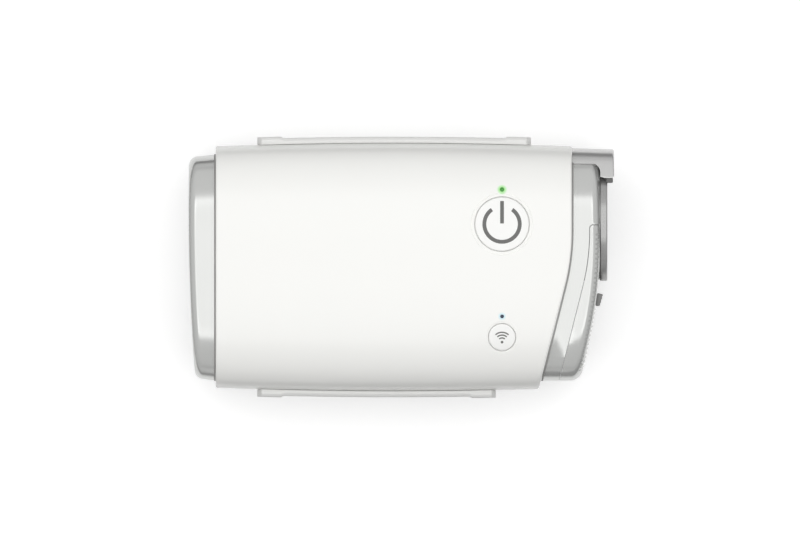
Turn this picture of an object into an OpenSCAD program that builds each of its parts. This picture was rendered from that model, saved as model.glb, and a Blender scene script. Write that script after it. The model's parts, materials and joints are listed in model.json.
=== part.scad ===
// Travel CPAP machine, lying flat on its feet.
// Millimetres, +Z up, +X towards the air outlet, +Y towards the rear.
// The origin is under the middle of the machine, on the surface it stands on.

/* [Casing] */
// Length of the white casing, from its left edge to the straight part of its right edge
casing_len = 114; // [112:0.5:122]
// Width of the casing at its middle
casing_w = 79.6; // [78.6:0.2:86]
// Height of the casing at its middle
casing_h = 50.4; // [50:0.2:56]
// How much narrower each side of the casing is at its ends
barrel_drop_w = 1.15; // [0.4:0.05:1.5]
// How much lower the casing is at its ends
barrel_drop_h = 0.7; // [0.3:0.05:1]
// Power of the rounded-rectangle section, where 2 is an ellipse
section_power = 2.9; // [2.8:0.1:3.6]
// Wall of the casing
wall = 1.5; // [1.2:0.1:1.8]
// Thickness of the stiff lip at each end of the casing
lip_t = 2.2; // [2:0.1:2.6]
// Length of that lip
lip_len = 2; // [1.6:0.1:3]
// Rounding of the casing's end edges
edge_r = 0.6; // [0.3:0.1:0.9]

/* [Right edge of the casing] */
// Where the right edge starts to fall back, ahead of the centre line
cut_y = 11.5; // [8:0.5:14]
// Radius of the bend in the right edge
cut_r = 73; // [60:1:90]
// Angle of the right edge in front of the bend
cut_angle = 14.1; // [11:0.1:15]

/* [End caps] */
// Length of the left cap outside the casing
cap_len = 8.7; // [7.5:0.1:11]
// Gap all round between a cap and the lip of the casing
cap_gap = 0.25; // [0.15:0.05:0.4]
// How far the caps sit towards the front
cap_shift = 0.2; // [0:0.05:0.2]
// Wall of the caps
cap_wall = 1.8; // [1.5:0.1:2.2]
// Length of a cap inside the casing
spigot_len = 4.2; // [4:0.1:5]
// Rounding of the left cap's outer edge
cap_edge_r = 2.8; // [2:0.1:3.2]
// How much smaller the left cap is at its outer face
cap_taper = 0.5; // [0.2:0.05:0.8]
// Radius of the left cap's domed face, seen from above
cap_dome_r = 680; // [500:10:900]
// Where the dome of the left cap is highest, behind the centre line
cap_dome_y = 18; // [10:1:24]

/* [Outlet end] */
// Length of the outlet end outside the casing
outlet_len = 9; // [8.6:0.1:11]
// Rounding of the outlet end's outer edge
end_edge_r = 2; // [1.4:0.1:2.4]
// Where the outlet end's face starts to fall back
face_y = 8; // [6:0.5:10]
// Radius of the bend in that face
face_r = 138; // [120:2:160]
// Angle of the face in front of the bend
face_angle = 11.5; // [10:0.1:12.5]
// Rear wall of the outlet end, behind the centre line
end_rear_y = 33.1; // [32.6:0.1:33.4]
// Plan rounding of the outlet end's rear corner
end_corner_r = 2.9; // [2:0.1:3.4]
// Reach of the hood past the outlet end's face
hood_reach = 4.5; // [4:0.1:6]
// How far the hood is inside the line of the casing's side
hood_inset = 0.55; // [0.3:0.05:0.8]
// Half of the hood's height
hood_half_h = 18.8; // [18.4:0.1:19.6]
// How much the hood narrows towards its end
hood_taper = 0.4; // [0:0.1:0.8]
// Front tip of the hood, behind the centre line
hood_tip_y = 28.5; // [27.6:0.1:29.6]
// Rounding of the hood's end edge
hood_edge_r = 0.6; // [0.3:0.1:1]

/* [Outlet] */
// Outlet axis behind the centre line
outlet_y = 14.4; // [13.6:0.1:14.8]
// Radius of the outlet ring
ring_r = 18.9; // [18.4:0.1:19]
// How far the ring stands out of the face
ring_t = 2.35; // [2:0.05:3]
// Rounding of the ring's edge
ring_edge = 0.5; // [0.3:0.05:0.8]
// Bore that the hose's stub goes into
outlet_bore_r = 11.1; // [10.6:0.1:11.4]
// Wall of the ring's tube
ring_tube_wall = 1.3; // [1:0.1:1.4]
// Length of the ring's tube behind the face
ring_tube_len = 13.6; // [12.6:0.2:14.4]
// Width of the groove for the face seal
seal_groove_w = 3.2; // [2.4:0.1:3.6]
// Depth of that groove
seal_groove_d = 1.2; // [0.8:0.1:1.5]
// How far the seal stands above its groove's floor
seal_t = 1; // [0.7:0.1:1.6]
// Radial gap between the ring and the filter cover or the hood
ring_gap = 0.4; // [0.3:0.05:0.6]

/* [Filter cover] */
// Width of the outlet end's band between the casing and the filter cover
band_w = 5.6; // [5.2:0.1:6]
// Rear edge of the filter cover, behind the centre line
cover_y = 13.6; // [12.6:0.1:14]
// Plan rounding of the cover's rear corner
cover_corner_r = 1.2; // [0.8:0.1:1.6]
// Gap all round the filter cover
cover_gap = 0.2; // [0.15:0.05:0.35]
// Wall of the filter cover
cover_wall = 1.6; // [1.3:0.1:1.9]
// Width of one grille slot
slot_w = 0.7; // [0.5:0.05:0.8]
// Distance from one slot to the next
slot_pitch = 1.4; // [1.2:0.05:2.4]
// Height of the slots
slot_h = 24; // [18:1:25]
// Width of the grille, front to rear
grille_w = 17; // [12:0.5:18]
// Middle of the grille, ahead of the centre line
grille_y = 22.5; // [22:0.1:23]
// Length of the finger tab, front to rear
tab_len = 4.2; // [3:0.1:5]
// Rear end of the finger tab, ahead of the centre line
tab_y = 8.3; // [7.8:0.1:8.8]
// How far the finger tab stands out
tab_reach = 2; // [1.4:0.1:2.4]
// Height of the finger tab
tab_h = 12; // [8:0.5:16]
// Thickness of the filter pad
pad_t = 2.2; // [1.6:0.1:2.4]
// Room round the grille inside the cover, top and bottom
pocket_rim = 3.4; // [2.8:0.1:3.8]
// Width of the filter pad, front to rear
filter_w = 21; // [18:0.5:22]
// Height of the filter pad
filter_h = 26; // [22:0.5:26.5]

/* [Side rails] */
// How far a rail stands out of the casing
rail_t = 1.9; // [1.4:0.1:2.4]
// Height of a rail
rail_h = 12; // [9:0.5:13]
// Gap between the casing and a rail
rail_gap = 0.1; // [0.05:0.05:0.2]
// Bevel along a rail's edges
rail_bevel = 0.8; // [0.4:0.1:1.2]
// Start of both rails from the casing's left edge
rail_start = 13.34; // [11:0.02:15]
// Length of the rear rail
rear_rail_len = 87.56; // [80:0.02:90]
// Length of the front rail
front_rail_len = 76.32; // [70:0.02:80]
// Length of a rail's sloped end
rail_end = 2.1; // [1.6:0.1:3]
// How much thinner the very end of a rail is
rail_end_drop = 0.3; // [0.1:0.05:0.6]
// How far the raised pads stand up from a rail
rail_pad_t = 0.5; // [0.3:0.05:0.8]
// Length of a raised pad
rail_pad_len = 7; // [5:0.2:10]

/* [Feet] */
// How far the feet lift the casing
foot_h = 1.6; // [1.2:0.1:2.4]
// Radius of a foot
foot_r = 4.6; // [3.6:0.1:4.8]
// Depth of a foot's pocket, measured at the lowest point of the casing
foot_pocket = 2.7; // [2.6:0.1:3]
// Feet from the casing's left edge, left pair
foot_left = 21.4; // [20.4:0.1:22.4]
// Feet from the casing's right seam, right pair
foot_right = 20.6; // [19:0.1:23]
// Feet from the centre line
foot_y = 21; // [19.5:0.1:21.5]

/* [Buttons and lamps] */
// Buttons from the casing's right seam
button_back = 22.35; // [21.6:0.05:23]
// Start button behind the centre line
start_y = 13.73; // [13:0.01:14.4]
// Radius of the start button's opening
start_r = 8.8; // [8:0.1:9]
// Wireless button ahead of the centre line
wireless_y = 22.5; // [22:0.05:22.8]
// Radius of the wireless button's opening
wireless_r = 4.45; // [3.8:0.05:4.6]
// Running gap round a button
button_gap = 0.2; // [0.12:0.02:0.25]
// Travel of a button
button_travel = 0.5; // [0.3:0.05:0.6]
// Wall of a button's guide sleeve
sleeve_wall = 1.2; // [1:0.1:1.3]
// Width of a button's stop flange
flange_w = 0.8; // [0.6:0.1:0.95]
// Thickness of that flange
flange_t = 0.8; // [0.6:0.1:0.9]
// Start button's stop below the top of the casing
start_stop_drop = 5.2; // [5:0.1:5.4]
// Wireless button's stop below the top of the casing
wireless_stop_drop = 6.4; // [6.2:0.1:6.6]
// Top plate of a button
button_t = 1.6; // [1.2:0.1:2]
// Radius of the stem under a button
stem_r = 1.6; // [1.2:0.1:2]
// How far a plunger sits in its switch at rest
plunger_dip = 0.35; // [0.2:0.05:0.4]
// Rim round a lamp's foot
lamp_rim = 0.25; // [0.15:0.05:0.3]
// Distance from the start button's middle to its lamp
start_lamp_dist = 11.07; // [11:0.01:11.6]
// Distance from the wireless button's middle to its lamp
wireless_lamp_dist = 6.7; // [6.65:0.05:7]
// Radius of the start lamp
start_lamp_r = 0.65; // [0.5:0.05:0.7]
// Radius of the wireless lamp
wireless_lamp_r = 0.55; // [0.4:0.05:0.6]

/* [Circuit board] */
// Top of the board below the top of the casing
board_drop = 8.6; // [8.4:0.1:8.8]
// Thickness of the board
board_t = 1.6; // [1:0.1:1.6]
// Left edge of the board from the casing's left edge
board_left = 19.4; // [18:0.2:22]
// Right edge of the board from the casing's right seam
board_right = 14.6; // [14.2:0.2:15]
// Width of the board
board_w = 53; // [51.5:0.5:53.5]
// Side of the start button's switch
start_switch_w = 6; // [4.5:0.1:6.2]
// Height of the start button's switch
start_switch_h = 2; // [1.6:0.1:2]
// Side of the wireless button's switch
wireless_switch_w = 3.8; // [3.4:0.1:3.9]
// Height of the wireless button's switch
wireless_switch_h = 1.2; // [1.1:0.05:1.3]
// Board screws from the board's side edges
board_screw_in = 6.7; // [6.5:0.1:7]
// Left board screws from the board's left edge
board_screw_left = 4; // [3:0.1:4.5]
// Right pair of board screws, right of the casing's middle
board_screw_right = 15.4; // [15:0.1:16]
// Last board screw from the board's right edge
board_screw_end = 3; // [2.6:0.1:3.4]
// That screw ahead of the centre line
board_screw_front = 5; // [4:0.1:6]
// Side of the processor
processor_w = 10; // [8:0.5:11]
// Height of the processor
processor_h = 1.2; // [0.8:0.1:1.6]
// Processor from the board's left edge
processor_x = 35.6; // [34:0.1:37]
// Processor behind the centre line
processor_y = 4; // [3:0.1:5]
// Side of the power chip
power_chip_w = 6; // [5:0.5:6.5]
// Height of the power chip
power_chip_h = 1; // [0.8:0.1:1.4]
// Power chip from the board's left edge
power_chip_x = 19.6; // [19:0.1:21]
// Power chip from the board's front edge
power_chip_in = 16.5; // [14:0.1:17]
// Radius of a capacitor
capacitor_r = 3; // [2.5:0.1:3.2]
// Height of a capacitor
capacitor_h = 5.4; // [4.4:0.1:5.6]
// Capacitors from the board's left edge
capacitor_x = 13.6; // [12.8:0.1:14]
// Front capacitor ahead of the centre line
capacitor_y = 2; // [1.5:0.1:2.5]
// Distance from one capacitor to the next
capacitor_pitch = 8; // [7:0.1:9]
// Side of the inductor
inductor_w = 8; // [7:0.1:8.6]
// Height of the inductor
inductor_h = 3.6; // [2.6:0.1:4]
// Inductor from the board's left edge
inductor_x = 28.6; // [28:0.1:29.4]
// Inductor from the board's front edge
inductor_in = 10.5; // [9:0.1:11]
// Length of the wireless module
module_len = 15; // [13:0.5:15.5]
// Width of the wireless module
module_w = 11; // [9:0.5:11.5]
// Height of the wireless module
module_h = 2; // [1.6:0.1:2.4]
// Wireless module and pressure sensor from the board's left edge
module_x = 45.6; // [45:0.1:46]
// Wireless module from the board's front edge
module_in = 16.5; // [15.5:0.1:17]
// Side of the pressure sensor
sensor_w = 7; // [6:0.5:7.5]
// Height of the pressure sensor
sensor_h = 2.6; // [2:0.1:3]
// Pressure sensor from the board's rear edge
sensor_in = 14.5; // [13.5:0.1:15]
// Radius of the sensor's nipples
nipple_r = 0.9; // [0.6:0.1:1]
// Height of the nipples above the sensor
nipple_h = 2.2; // [1.4:0.1:2.4]
// Distance from one nipple to the other
nipple_pitch = 3.2; // [2.8:0.1:3.6]
// Length of a board connector
connector_len = 5; // [4.4:0.1:5.4]
// Width of a board connector
connector_w = 6.4; // [5.6:0.1:7]
// Height of a board connector
connector_h = 4; // [3.6:0.1:4.4]
// Connectors from the board's left edge
connector_left = 3.6; // [3.2:0.1:4]
// Motor connector ahead of the centre line
motor_plug_front = 6; // [5:0.1:7]
// Power connector behind the centre line
power_plug_y = 8; // [7:0.1:9]

/* [Power inlet] */
// Width of the inlet's pocket
jack_w = 13; // [11:0.5:16]
// Height of the inlet's pocket
jack_h = 8; // [7:0.5:10]
// Depth of the inlet's pocket
jack_depth = 8.5; // [7:0.1:9]
// Wall of the inlet's housing
jack_wall = 1.2; // [1:0.1:1.6]
// Back wall of the inlet's housing
jack_back_t = 1.5; // [1.2:0.1:2]
// How far the inlet sits inside the cap's face
jack_recess = 0.3; // [0.1:0.05:0.6]
// Radius of a contact pin
pin_r = 0.7; // [0.5:0.05:0.9]
// Distance from one contact pin to the next
pin_pitch = 3.5; // [3:0.1:4]
// Length of a contact pin in the pocket
pin_len = 4; // [3:0.1:4.5]
// How far a pin stands out behind the housing
pin_tail = 2; // [1.4:0.1:2.4]

/* [Blower] */
// Rotor axis from the middle of the casing, to the left
rotor_back = 13.6; // [13:0.1:14]
// Radius of the blower's scroll at its tongue
scroll_start_r = 19.6; // [19.4:0.1:20.4]
// Radius of the scroll at its outlet
scroll_end_r = 24.4; // [23.6:0.1:24.8]
// Wall of the scroll
scroll_wall = 1.5; // [1.2:0.1:1.7]
// Inner radius of the blower's outlet stub
stub_bore_r = 6.5; // [6:0.1:6.8]
// Length of the scroll's straight passage
passage_len = 24; // [23:0.5:25]
// Length of the round stub
stub_len = 10; // [8:0.5:11]
// Radius of the scroll's inlet
inlet_r = 9; // [8:0.1:10]
// Radius of the impeller
impeller_r = 17.2; // [15:0.1:17.6]
// Height of the impeller
impeller_h = 9.8; // [8:0.1:10.4]
// Thickness of the impeller's back plate
impeller_plate = 1; // [0.8:0.1:1.4]
// Number of impeller blades
blades = 11; // [7:1:13]
// Thickness of a blade
blade_t = 0.9; // [0.7:0.1:1.2]
// How far a blade sweeps back
blade_sweep = 55; // [30:1:70]
// Radius of the impeller's hub
hub_r = 4; // [3.4:0.1:5]
// Radius of a blower mount
mount_r = 3; // [2.4:0.1:3.4]
// Mounts outside the scroll's wall, to their middle
mount_out = 2.2; // [2:0.1:2.6]
// Height of the cups that hold the mounts, above the chassis plate
mount_cup_h = 2; // [1.5:0.1:3]
// Gap under the impeller
impeller_gap = 0.8; // [0.6:0.1:1.2]

/* [Motor] */
// Radius of the rotor shaft
shaft_r = 1.5; // [1.2:0.05:1.7]
// Running clearance of the shaft in its bearings
shaft_clear = 0.03; // [0.02:0.01:0.05]
// Outer radius of a bearing
bearing_r = 4; // [3.5:0.1:4.2]
// Height of a bearing
bearing_h = 2; // [1.6:0.1:2]
// Outer radius of the motor can
can_r = 15; // [14:0.1:15.6]
// Wall of the motor can
can_wall = 1.2; // [0.9:0.1:1.3]
// Lid of the motor can
can_lid = 1; // [0.8:0.1:1.2]
// Gap between the coils and the can's lid
coil_room = 0.8; // [0.6:0.1:1.4]
// End play of the magnet between the bearings
magnet_play = 0.3; // [0.2:0.05:0.6]
// Radial thickness of the stator's outer ring
core_ring = 3; // [2.4:0.1:3.2]
// Number of stator teeth and coils
teeth = 6; // [3:3:6]
// Width of a stator tooth
tooth_w = 2.6; // [2:0.1:2.8]
// Thickness of a coil's winding
coil_t = 1.1; // [0.8:0.1:1.2]
// Radial length of a coil
coil_len = 2.4; // [2:0.1:2.8]
// Radius of the rotor magnet
magnet_r = 5.9; // [5:0.1:6]
// Air gap between the magnet and the stator
air_gap = 0.6; // [0.4:0.05:0.8]

/* [Air path] */
// Wall of the inlet duct
duct_wall = 1.2; // [1:0.1:1.4]
// Left end of the muffler box from the casing's right seam
box_left = 38.1; // [37.6:0.1:38.4]
// Right end of the muffler box from the casing's right seam
box_right = 11.1; // [11:0.1:12]
// Width of the window behind the filter
window_w = 20; // [17:0.5:21]
// Gap between the muffler box and the board above it
box_drop = 1.8; // [1.6:0.1:3]
// Gap between the muffler box and the outlet duct
box_clear = 0.75; // [0.5:0.05:1.5]
// Middle of the window, ahead of the centre line
window_y = 16; // [15.8:0.1:16.4]
// Thickness of the gasket between the duct and the outlet end
inlet_seal_t = 1; // [0.6:0.1:1.3]
// Thickness of the foam in the muffler box
foam_t = 4; // [2:0.5:6]
// Thickness of the gasket on the blower's inlet
gasket_t = 1; // [0.8:0.1:1.2]
// Rim of the gasket on the blower's inlet
gasket_rim = 2.2; // [1.6:0.1:2.3]
// Gap between the plenum over the blower and the board above it
plenum_drop = 0.5; // [0.4:0.1:1]
// How far the plenum reaches over the muffler box
plenum_over = 11; // [8:0.5:12]
// Wall of the silicone outlet duct
sleeve_t = 1.5; // [1.2:0.1:1.6]

/* [Chassis and fasteners] */
// Thickness of the chassis plate
chassis_t = 1.6; // [1.2:0.1:1.8]
// Underside of the chassis plate above the lowest point of the casing
chassis_up = 4.4; // [4.2:0.1:4.8]
// Width of the chassis plate
chassis_w = 44; // [42:0.5:46]
// Left end of the chassis plate from the casing's left edge
chassis_left = 14.8; // [14:0.1:16]
// Right end of the chassis plate, right of the rotor axis
chassis_reach = 26; // [25:0.1:27]
// Chassis screws from the plate's ends
chassis_screw_in = 3; // [2.6:0.1:3.4]
// Chassis screws from the centre line
chassis_screw_y = 10; // [8:0.5:11]
// Gap between the chassis plate and the motor can
can_gap = 0.4; // [0.3:0.05:0.8]
// Radius of the case screws' shanks
case_screw_r = 1.4; // [1.2:0.05:1.5]
// Radius of the case screws' heads
case_head_r = 2.7; // [2.3:0.1:2.8]
// Radius of the case screws' bosses
case_boss_r = 3.8; // [3.7:0.05:3.9]
// Left pair of case screws from the casing's left edge
case_screw_left = 9.4; // [9:0.1:9.8]
// Left pair of case screws from the centre line
case_screw_left_y = 20; // [19:0.1:21]
// Right pair of case screws, right of the casing's middle
case_screw_right = 14.4; // [14:0.1:15]
// Right pair of case screws from the centre line
case_screw_right_y = 28.5; // [28:0.1:28.6]
// Underside of the case screws' heads above the casing's lowest point
case_head_up = 9; // [8.6:0.1:10]
// Height of the case screws' heads
case_head_h = 1.8; // [1.4:0.1:2]
// Tips of the case screws below the casing's top
case_tip_drop = 17.4; // [17:0.1:19]
// Length of a board screw's thread in the casing
board_screw_bite = 3; // [2.4:0.1:3.2]
// Start of the chassis screws' holes above the casing's lowest point
chassis_hole_up = 2.4; // [2.2:0.1:2.6]
// Radius of the small screws' shanks
small_screw_r = 1.1; // [0.9:0.05:1.2]
// Radius of the small screws' heads
small_head_r = 2.1; // [1.8:0.05:2.2]
// Radius of the small screws' bosses
small_boss_r = 2.6; // [2.4:0.05:2.8]
// Height of the small screws' heads
small_head_h = 1.4; // [1.1:0.1:1.5]
// Radius of the motor cable
motor_cable_r = 1.2; // [0.8:0.1:1.3]
// Radius of the power cable
power_cable_r = 1.1; // [0.8:0.1:1.3]

/* [Hidden] */
$fn = 64;

// Overall places
total_len = cap_len + casing_len + outlet_len + hood_reach;
x_cap = -total_len / 2;
x_left = x_cap + cap_len;
x_seam = x_left + casing_len;
x_face = x_seam + outlet_len;
x_hood = x_face + hood_reach;
x_mid = (x_left + x_seam) / 2;
z_mid = foot_h + casing_h / 2;
z_top = foot_h + casing_h;

// Small fixed clearances
seat = 0.05;
slip = 0.1;
eps = 0.02;
blind_room = 0.4;

// Small sizes of single pieces
foot_cup_top = 1.3;
foot_cup_wall = 1.2;
foot_edge = 0.5;
head_room = 0.3;
hood_clear = 0.6;
hood_round = 0.4;
hood_lead = 1.4;
boss_step = 0.3;
groove_in = 0.8;
duct_back = 2;
duct_lap = 1;
duct_shoulder = 3;
duct_seat = 4;
duct_inset = 0.6;
pad_shift = 4.2;
pad_clear = 0.6;
pocket_side = 2.4;
pocket_ring = 1.4;
tab_rake = 0.4;
tab_taper = 0.75;
rail_nose_drop = 1.2;
rail_even = 12;
button_wall = 1.2;
stem_in = 2;
stem_rim = 0.3;
lamp_chip_w = 1.6;
lamp_chip_d = 1.2;
bearing_low = 0.2;
bearing_top = 0.4;
coil_back = 0.3;
tooth_lap = 1.5;
blade_root = 0.5;

// Facets of the lofted shells
shell_step = 5;
shell_stations = 7;

// ---------- Plan curves ----------

// Fall of a plan curve at y: straight behind y_start, then an arc of radius r, then a slope
function fall(y, y_start, r, angle) =
    let (d = y_start - y, arc = r * sin(angle))
    d <= 0 ? 0
    : d <= arc ? r - sqrt(r * r - d * d)
    : r * (1 - cos(angle)) + (d - arc) * tan(angle);

function cut_x(y) = x_seam - fall(y, cut_y, cut_r, cut_angle);
function face_x(y) = x_face - fall(y, face_y, face_r, face_angle);
function cover_x(y) = cut_x(y) + band_w;
function cap_x(y) = x_cap + pow(y - cap_dome_y, 2) / (2 * cap_dome_r);

// ---------- Sections ----------

function barrel(x) = pow((x - x_mid) / (casing_len / 2), 2);
function half_w(x) = casing_w / 2 - barrel_drop_w * barrel(x);
function half_h(x) = casing_h / 2 - barrel_drop_h * barrel(x);

// Point of the unit section in direction a, from +Y towards +Z
function unit(a) =
    let (c = cos(a), s = sin(a),
         k = pow(pow(abs(c), section_power) + pow(abs(s), section_power), 1 / section_power))
    [c / k, s / k];

// Share of the half-height that is left at a share t of the half-width, and the other way round
function curve_left(t) = pow(1 - pow(min(abs(t), 1), section_power), 1 / section_power);

// Height of the casing's top, inset by the given thickness
function top_z(x, y, inset = 0) = z_mid + (half_h(x) - inset) * curve_left(y / (half_w(x) - inset));

cap_w = half_w(x_left) - lip_t - cap_gap;
cap_h = half_h(x_left) - lip_t - cap_gap;
ramp = lip_t - wall;
trap = ramp - cap_gap / 2;

// ---------- Lofts ----------

// Skin over closed rings of equal count, ends closed by strips between the two halves of a ring.
// shift is 0 for a ring that starts on its line of symmetry and 1 for one that starts beside it.
module loft(rings, shift = 0) {
    n = len(rings[0]);
    m = len(rings);
    sides = [
        for (k = [0 : m - 2], i = [0 : n - 1])
            let (a = k * n + i, b = k * n + (i + 1) % n)
            each [[a, b, b + n], [a, b + n, a + n]]
    ];
    ends = [
        for (i = [0 : n / 2 - 1 - shift])
            let (j = i + 1, p = (n - shift - i) % n, q = (n - shift - j) % n)
            each [if (j != q) [i, j, q], if (i != p) [i, q, p]]
    ];
    first = [for (f = ends) [f[2], f[1], f[0]]];
    last = [for (f = ends) [for (v = f) v + (m - 1) * n]];
    faces = concat(sides, first, last);
    polyhedron(points = [for (r = rings) each r], faces = [for (f = faces) [f[2], f[1], f[0]]]);
}

// Point of the casing at station u (0 is the left edge, 1 the right edge)
function casing_point(u, shift, inset, a) =
    let (e = unit(a),
         x = x_left + u * (cut_x(e[0] * (casing_w / 2 - inset)) - x_left) + shift)
    [x, e[0] * (half_w(x) - inset), z_mid + e[1] * (half_h(x) - inset)];

// Upper half of the casing's wall: outer arc, then inner arc back
function shell_ring(u, shift, outer, inner) = concat(
    [for (a = [0 : shell_step : 180]) casing_point(u, shift, outer, a)],
    [for (a = [180 : -shell_step : 0]) casing_point(u, shift, inner, a)]
);

// Lower-left to upper-right stations of an end: [shift, outer inset, inner inset]
end_steps = [
    [0, edge_r, lip_t],
    [edge_r * 0.3, edge_r * 0.3, lip_t],
    [edge_r, 0, lip_t],
    [lip_len, 0, lip_t],
    [lip_len + ramp, 0, wall]
];

module casing_half() {
    middle = [for (k = [1 : shell_stations - 1]) shell_ring(k / shell_stations, 0, 0, wall)];
    left = [for (s = end_steps) shell_ring(0, s[0], s[1], s[2])];
    right = [for (k = [len(end_steps) - 1 : -1 : 0])
        let (s = end_steps[k]) shell_ring(1, -s[0], s[1], s[2])];
    loft(concat(left, middle, right), 1);
}

// Solid that the casing fills, made smaller by inset
module casing_fill(inset) {
    loft([for (k = [0 : shell_stations])
        [for (a = [0 : shell_step : 359]) casing_point(k / shell_stations, 0, inset, a)]]);
}

// Rings of the end caps: on the left face, on the outlet face, at a plane, along the right edge
function left_face_ring(depth, inset) = [for (a = [0 : shell_step : 359])
    let (e = unit(a), y = e[0] * (cap_w - inset) - cap_shift)
    [cap_x(y) + depth, y, z_mid + e[1] * (cap_h - inset)]];
function left_flat_ring(x, inset) = [for (a = [0 : shell_step : 359])
    let (e = unit(a)) [x, e[0] * (cap_w - inset) - cap_shift, z_mid + e[1] * (cap_h - inset)]];
function right_face_ring(depth, inset) = [for (a = [0 : shell_step : 359])
    let (e = unit(a), y = e[0] * (cap_w - inset) - cap_shift)
    [face_x(y) - depth, y, z_mid + e[1] * (cap_h - inset)]];
function right_cut_ring(shift, inset) = [for (a = [0 : shell_step : 359])
    let (e = unit(a), y = e[0] * (cap_w - inset) - cap_shift)
    [cut_x(y) + shift, y, z_mid + e[1] * (cap_h - inset)]];

// Quarter-round steps: [depth from the face, inset]
function round_steps(r, n) = [for (k = [0 : n])
    let (t = 90 * (1 - k / n)) [r * (1 - sin(t)), r * (1 - cos(t))]];

// Outer form of the outlet end
module outlet_form() {
    steps = round_steps(end_edge_r, 4);
    loft(concat(
        [right_cut_ring(-spigot_len, -trap),
         right_cut_ring(-lip_len - ramp - cap_gap, -trap),
         right_cut_ring(-lip_len - cap_gap, 0)],
        [for (k = [len(steps) - 1 : -1 : 0]) right_face_ring(steps[k][0], steps[k][1])]
    ));
}

// The same form, smaller all round
module outlet_form_inside(inset) {
    loft([
        right_cut_ring(-spigot_len - 1, inset),
        right_face_ring(inset + end_edge_r, inset),
        right_face_ring(inset, inset + end_edge_r * 0.6)
    ]);
}

// ---------- Small helpers ----------

module post(x, y, z0, z1, r) {
    translate([x, y, z0]) cylinder(h = z1 - z0, r = r);
}

// Solid of revolution about the outlet's axis, from [x, r] points
module about_outlet(profile) {
    translate([0, outlet_y, z_mid]) rotate([0, 90, 0])
        rotate_extrude($fn = 96) polygon([for (p = profile) [p[1], p[0]]]);
}

module outlet_cylinder(x0, x1, r) {
    translate([x0, outlet_y, z_mid]) rotate([0, 90, 0]) cylinder(h = x1 - x0, r = r, $fn = 96);
}

module block(x0, x1, y0, y1, z0, z1) {
    translate([x0, y0, z0]) cube([x1 - x0, y1 - y0, z1 - z0]);
}

module full_height() {
    translate([0, 0, z_mid - casing_h]) linear_extrude(2 * casing_h) children();
}

// Pan-head screw pointing up from its head's underside at z
module screw(x, y, z, head_r, head_h, shank_r, shank_len) {
    post(x, y, z - head_h, z, head_r);
    post(x, y, z, z + shank_len, shank_r);
}

// Cable swept along a route, held level at its ends
function cross3(a, b) = [
    a[1] * b[2] - a[2] * b[1], a[2] * b[0] - a[0] * b[2], a[0] * b[1] - a[1] * b[0]];

module cable(route, r) {
    last = len(route) - 1;
    loft([for (k = [0 : last])
        let (t = route[min(k + 1, last)] - route[max(k - 1, 0)],
             f = t / norm(t),
             s0 = cross3([0, 1, 0], f),
             s = s0 / norm(s0),
             u = cross3(f, s))
        [for (a = [0 : 45 : 359]) route[k] + r * (cos(a) * s + sin(a) * u)]]);
}

// ---------- Places of the inner parts ----------

button_x = x_seam - button_back;
start_lamp_y = start_y + start_lamp_dist;
wireless_lamp_y = -wireless_y + wireless_lamp_dist;
board_z = z_top - board_drop;
board_under = board_z - board_t;
board_x0 = x_left + board_left;
board_x1 = x_seam - board_right;

rotor_x = x_mid - rotor_back;
rotor_y = outlet_y + stub_bore_r - scroll_end_r;
scroll_z0 = z_mid - stub_bore_r - scroll_wall;
scroll_z1 = z_mid + stub_bore_r + scroll_wall;
passage_x = rotor_x + passage_len;
stub_x = passage_x + stub_len;

chassis_z0 = foot_h + chassis_up;
chassis_z1 = chassis_z0 + chassis_t;
can_z0 = chassis_z1 + can_gap;

plenum_z0 = scroll_z1 + gasket_t;
plenum_z1 = board_under - plenum_drop;
box_x0 = x_seam - box_left;
box_x1 = x_seam - box_right;
box_y0 = -window_y - window_w / 2 - duct_wall;
ring_tube_r = outlet_bore_r + ring_tube_wall;
box_y1 = outlet_y - ring_tube_r - seat - sleeve_t - box_clear;
box_z1 = board_under - box_drop;
box_z0 = 2 * z_mid - box_z1;

boss_r = ring_r - boss_step;

case_screw_at = [for (y = [-1, 1])
    each [[x_left + case_screw_left, y * case_screw_left_y],
          [x_mid + case_screw_right, y * case_screw_right_y]]];
case_head_z = foot_h + case_head_up;
case_screw_len = casing_h - case_head_up - case_tip_drop;

chassis_x0 = x_left + chassis_left;
chassis_x1 = rotor_x + chassis_reach;
chassis_screw_at = [
    for (x = [chassis_x0 + chassis_screw_in, chassis_x1 - chassis_screw_in], y = [-1, 1])
        [x, y * chassis_screw_y]
];

board_screw_y = board_w / 2 - board_screw_in;
board_screw_at = concat(
    [for (x = [board_x0 + board_screw_left, x_mid + board_screw_right], y = [-1, 1])
        [x, y * board_screw_y]],
    [[board_x1 - board_screw_end, -board_screw_front]]
);
mount_angles = [135, 215, 325];
mount_rim = 1.3;
shaft_room = 0.6;

// ---------- Casing ----------

start_stop_z = z_top - start_stop_drop;
wireless_stop_z = z_top - wireless_stop_drop;

// Bosses are trimmed to the inside of the casing's wall
module inside_casing() {
    intersection() {
        casing_fill(wall * 0.6);
        children();
    }
}

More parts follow.
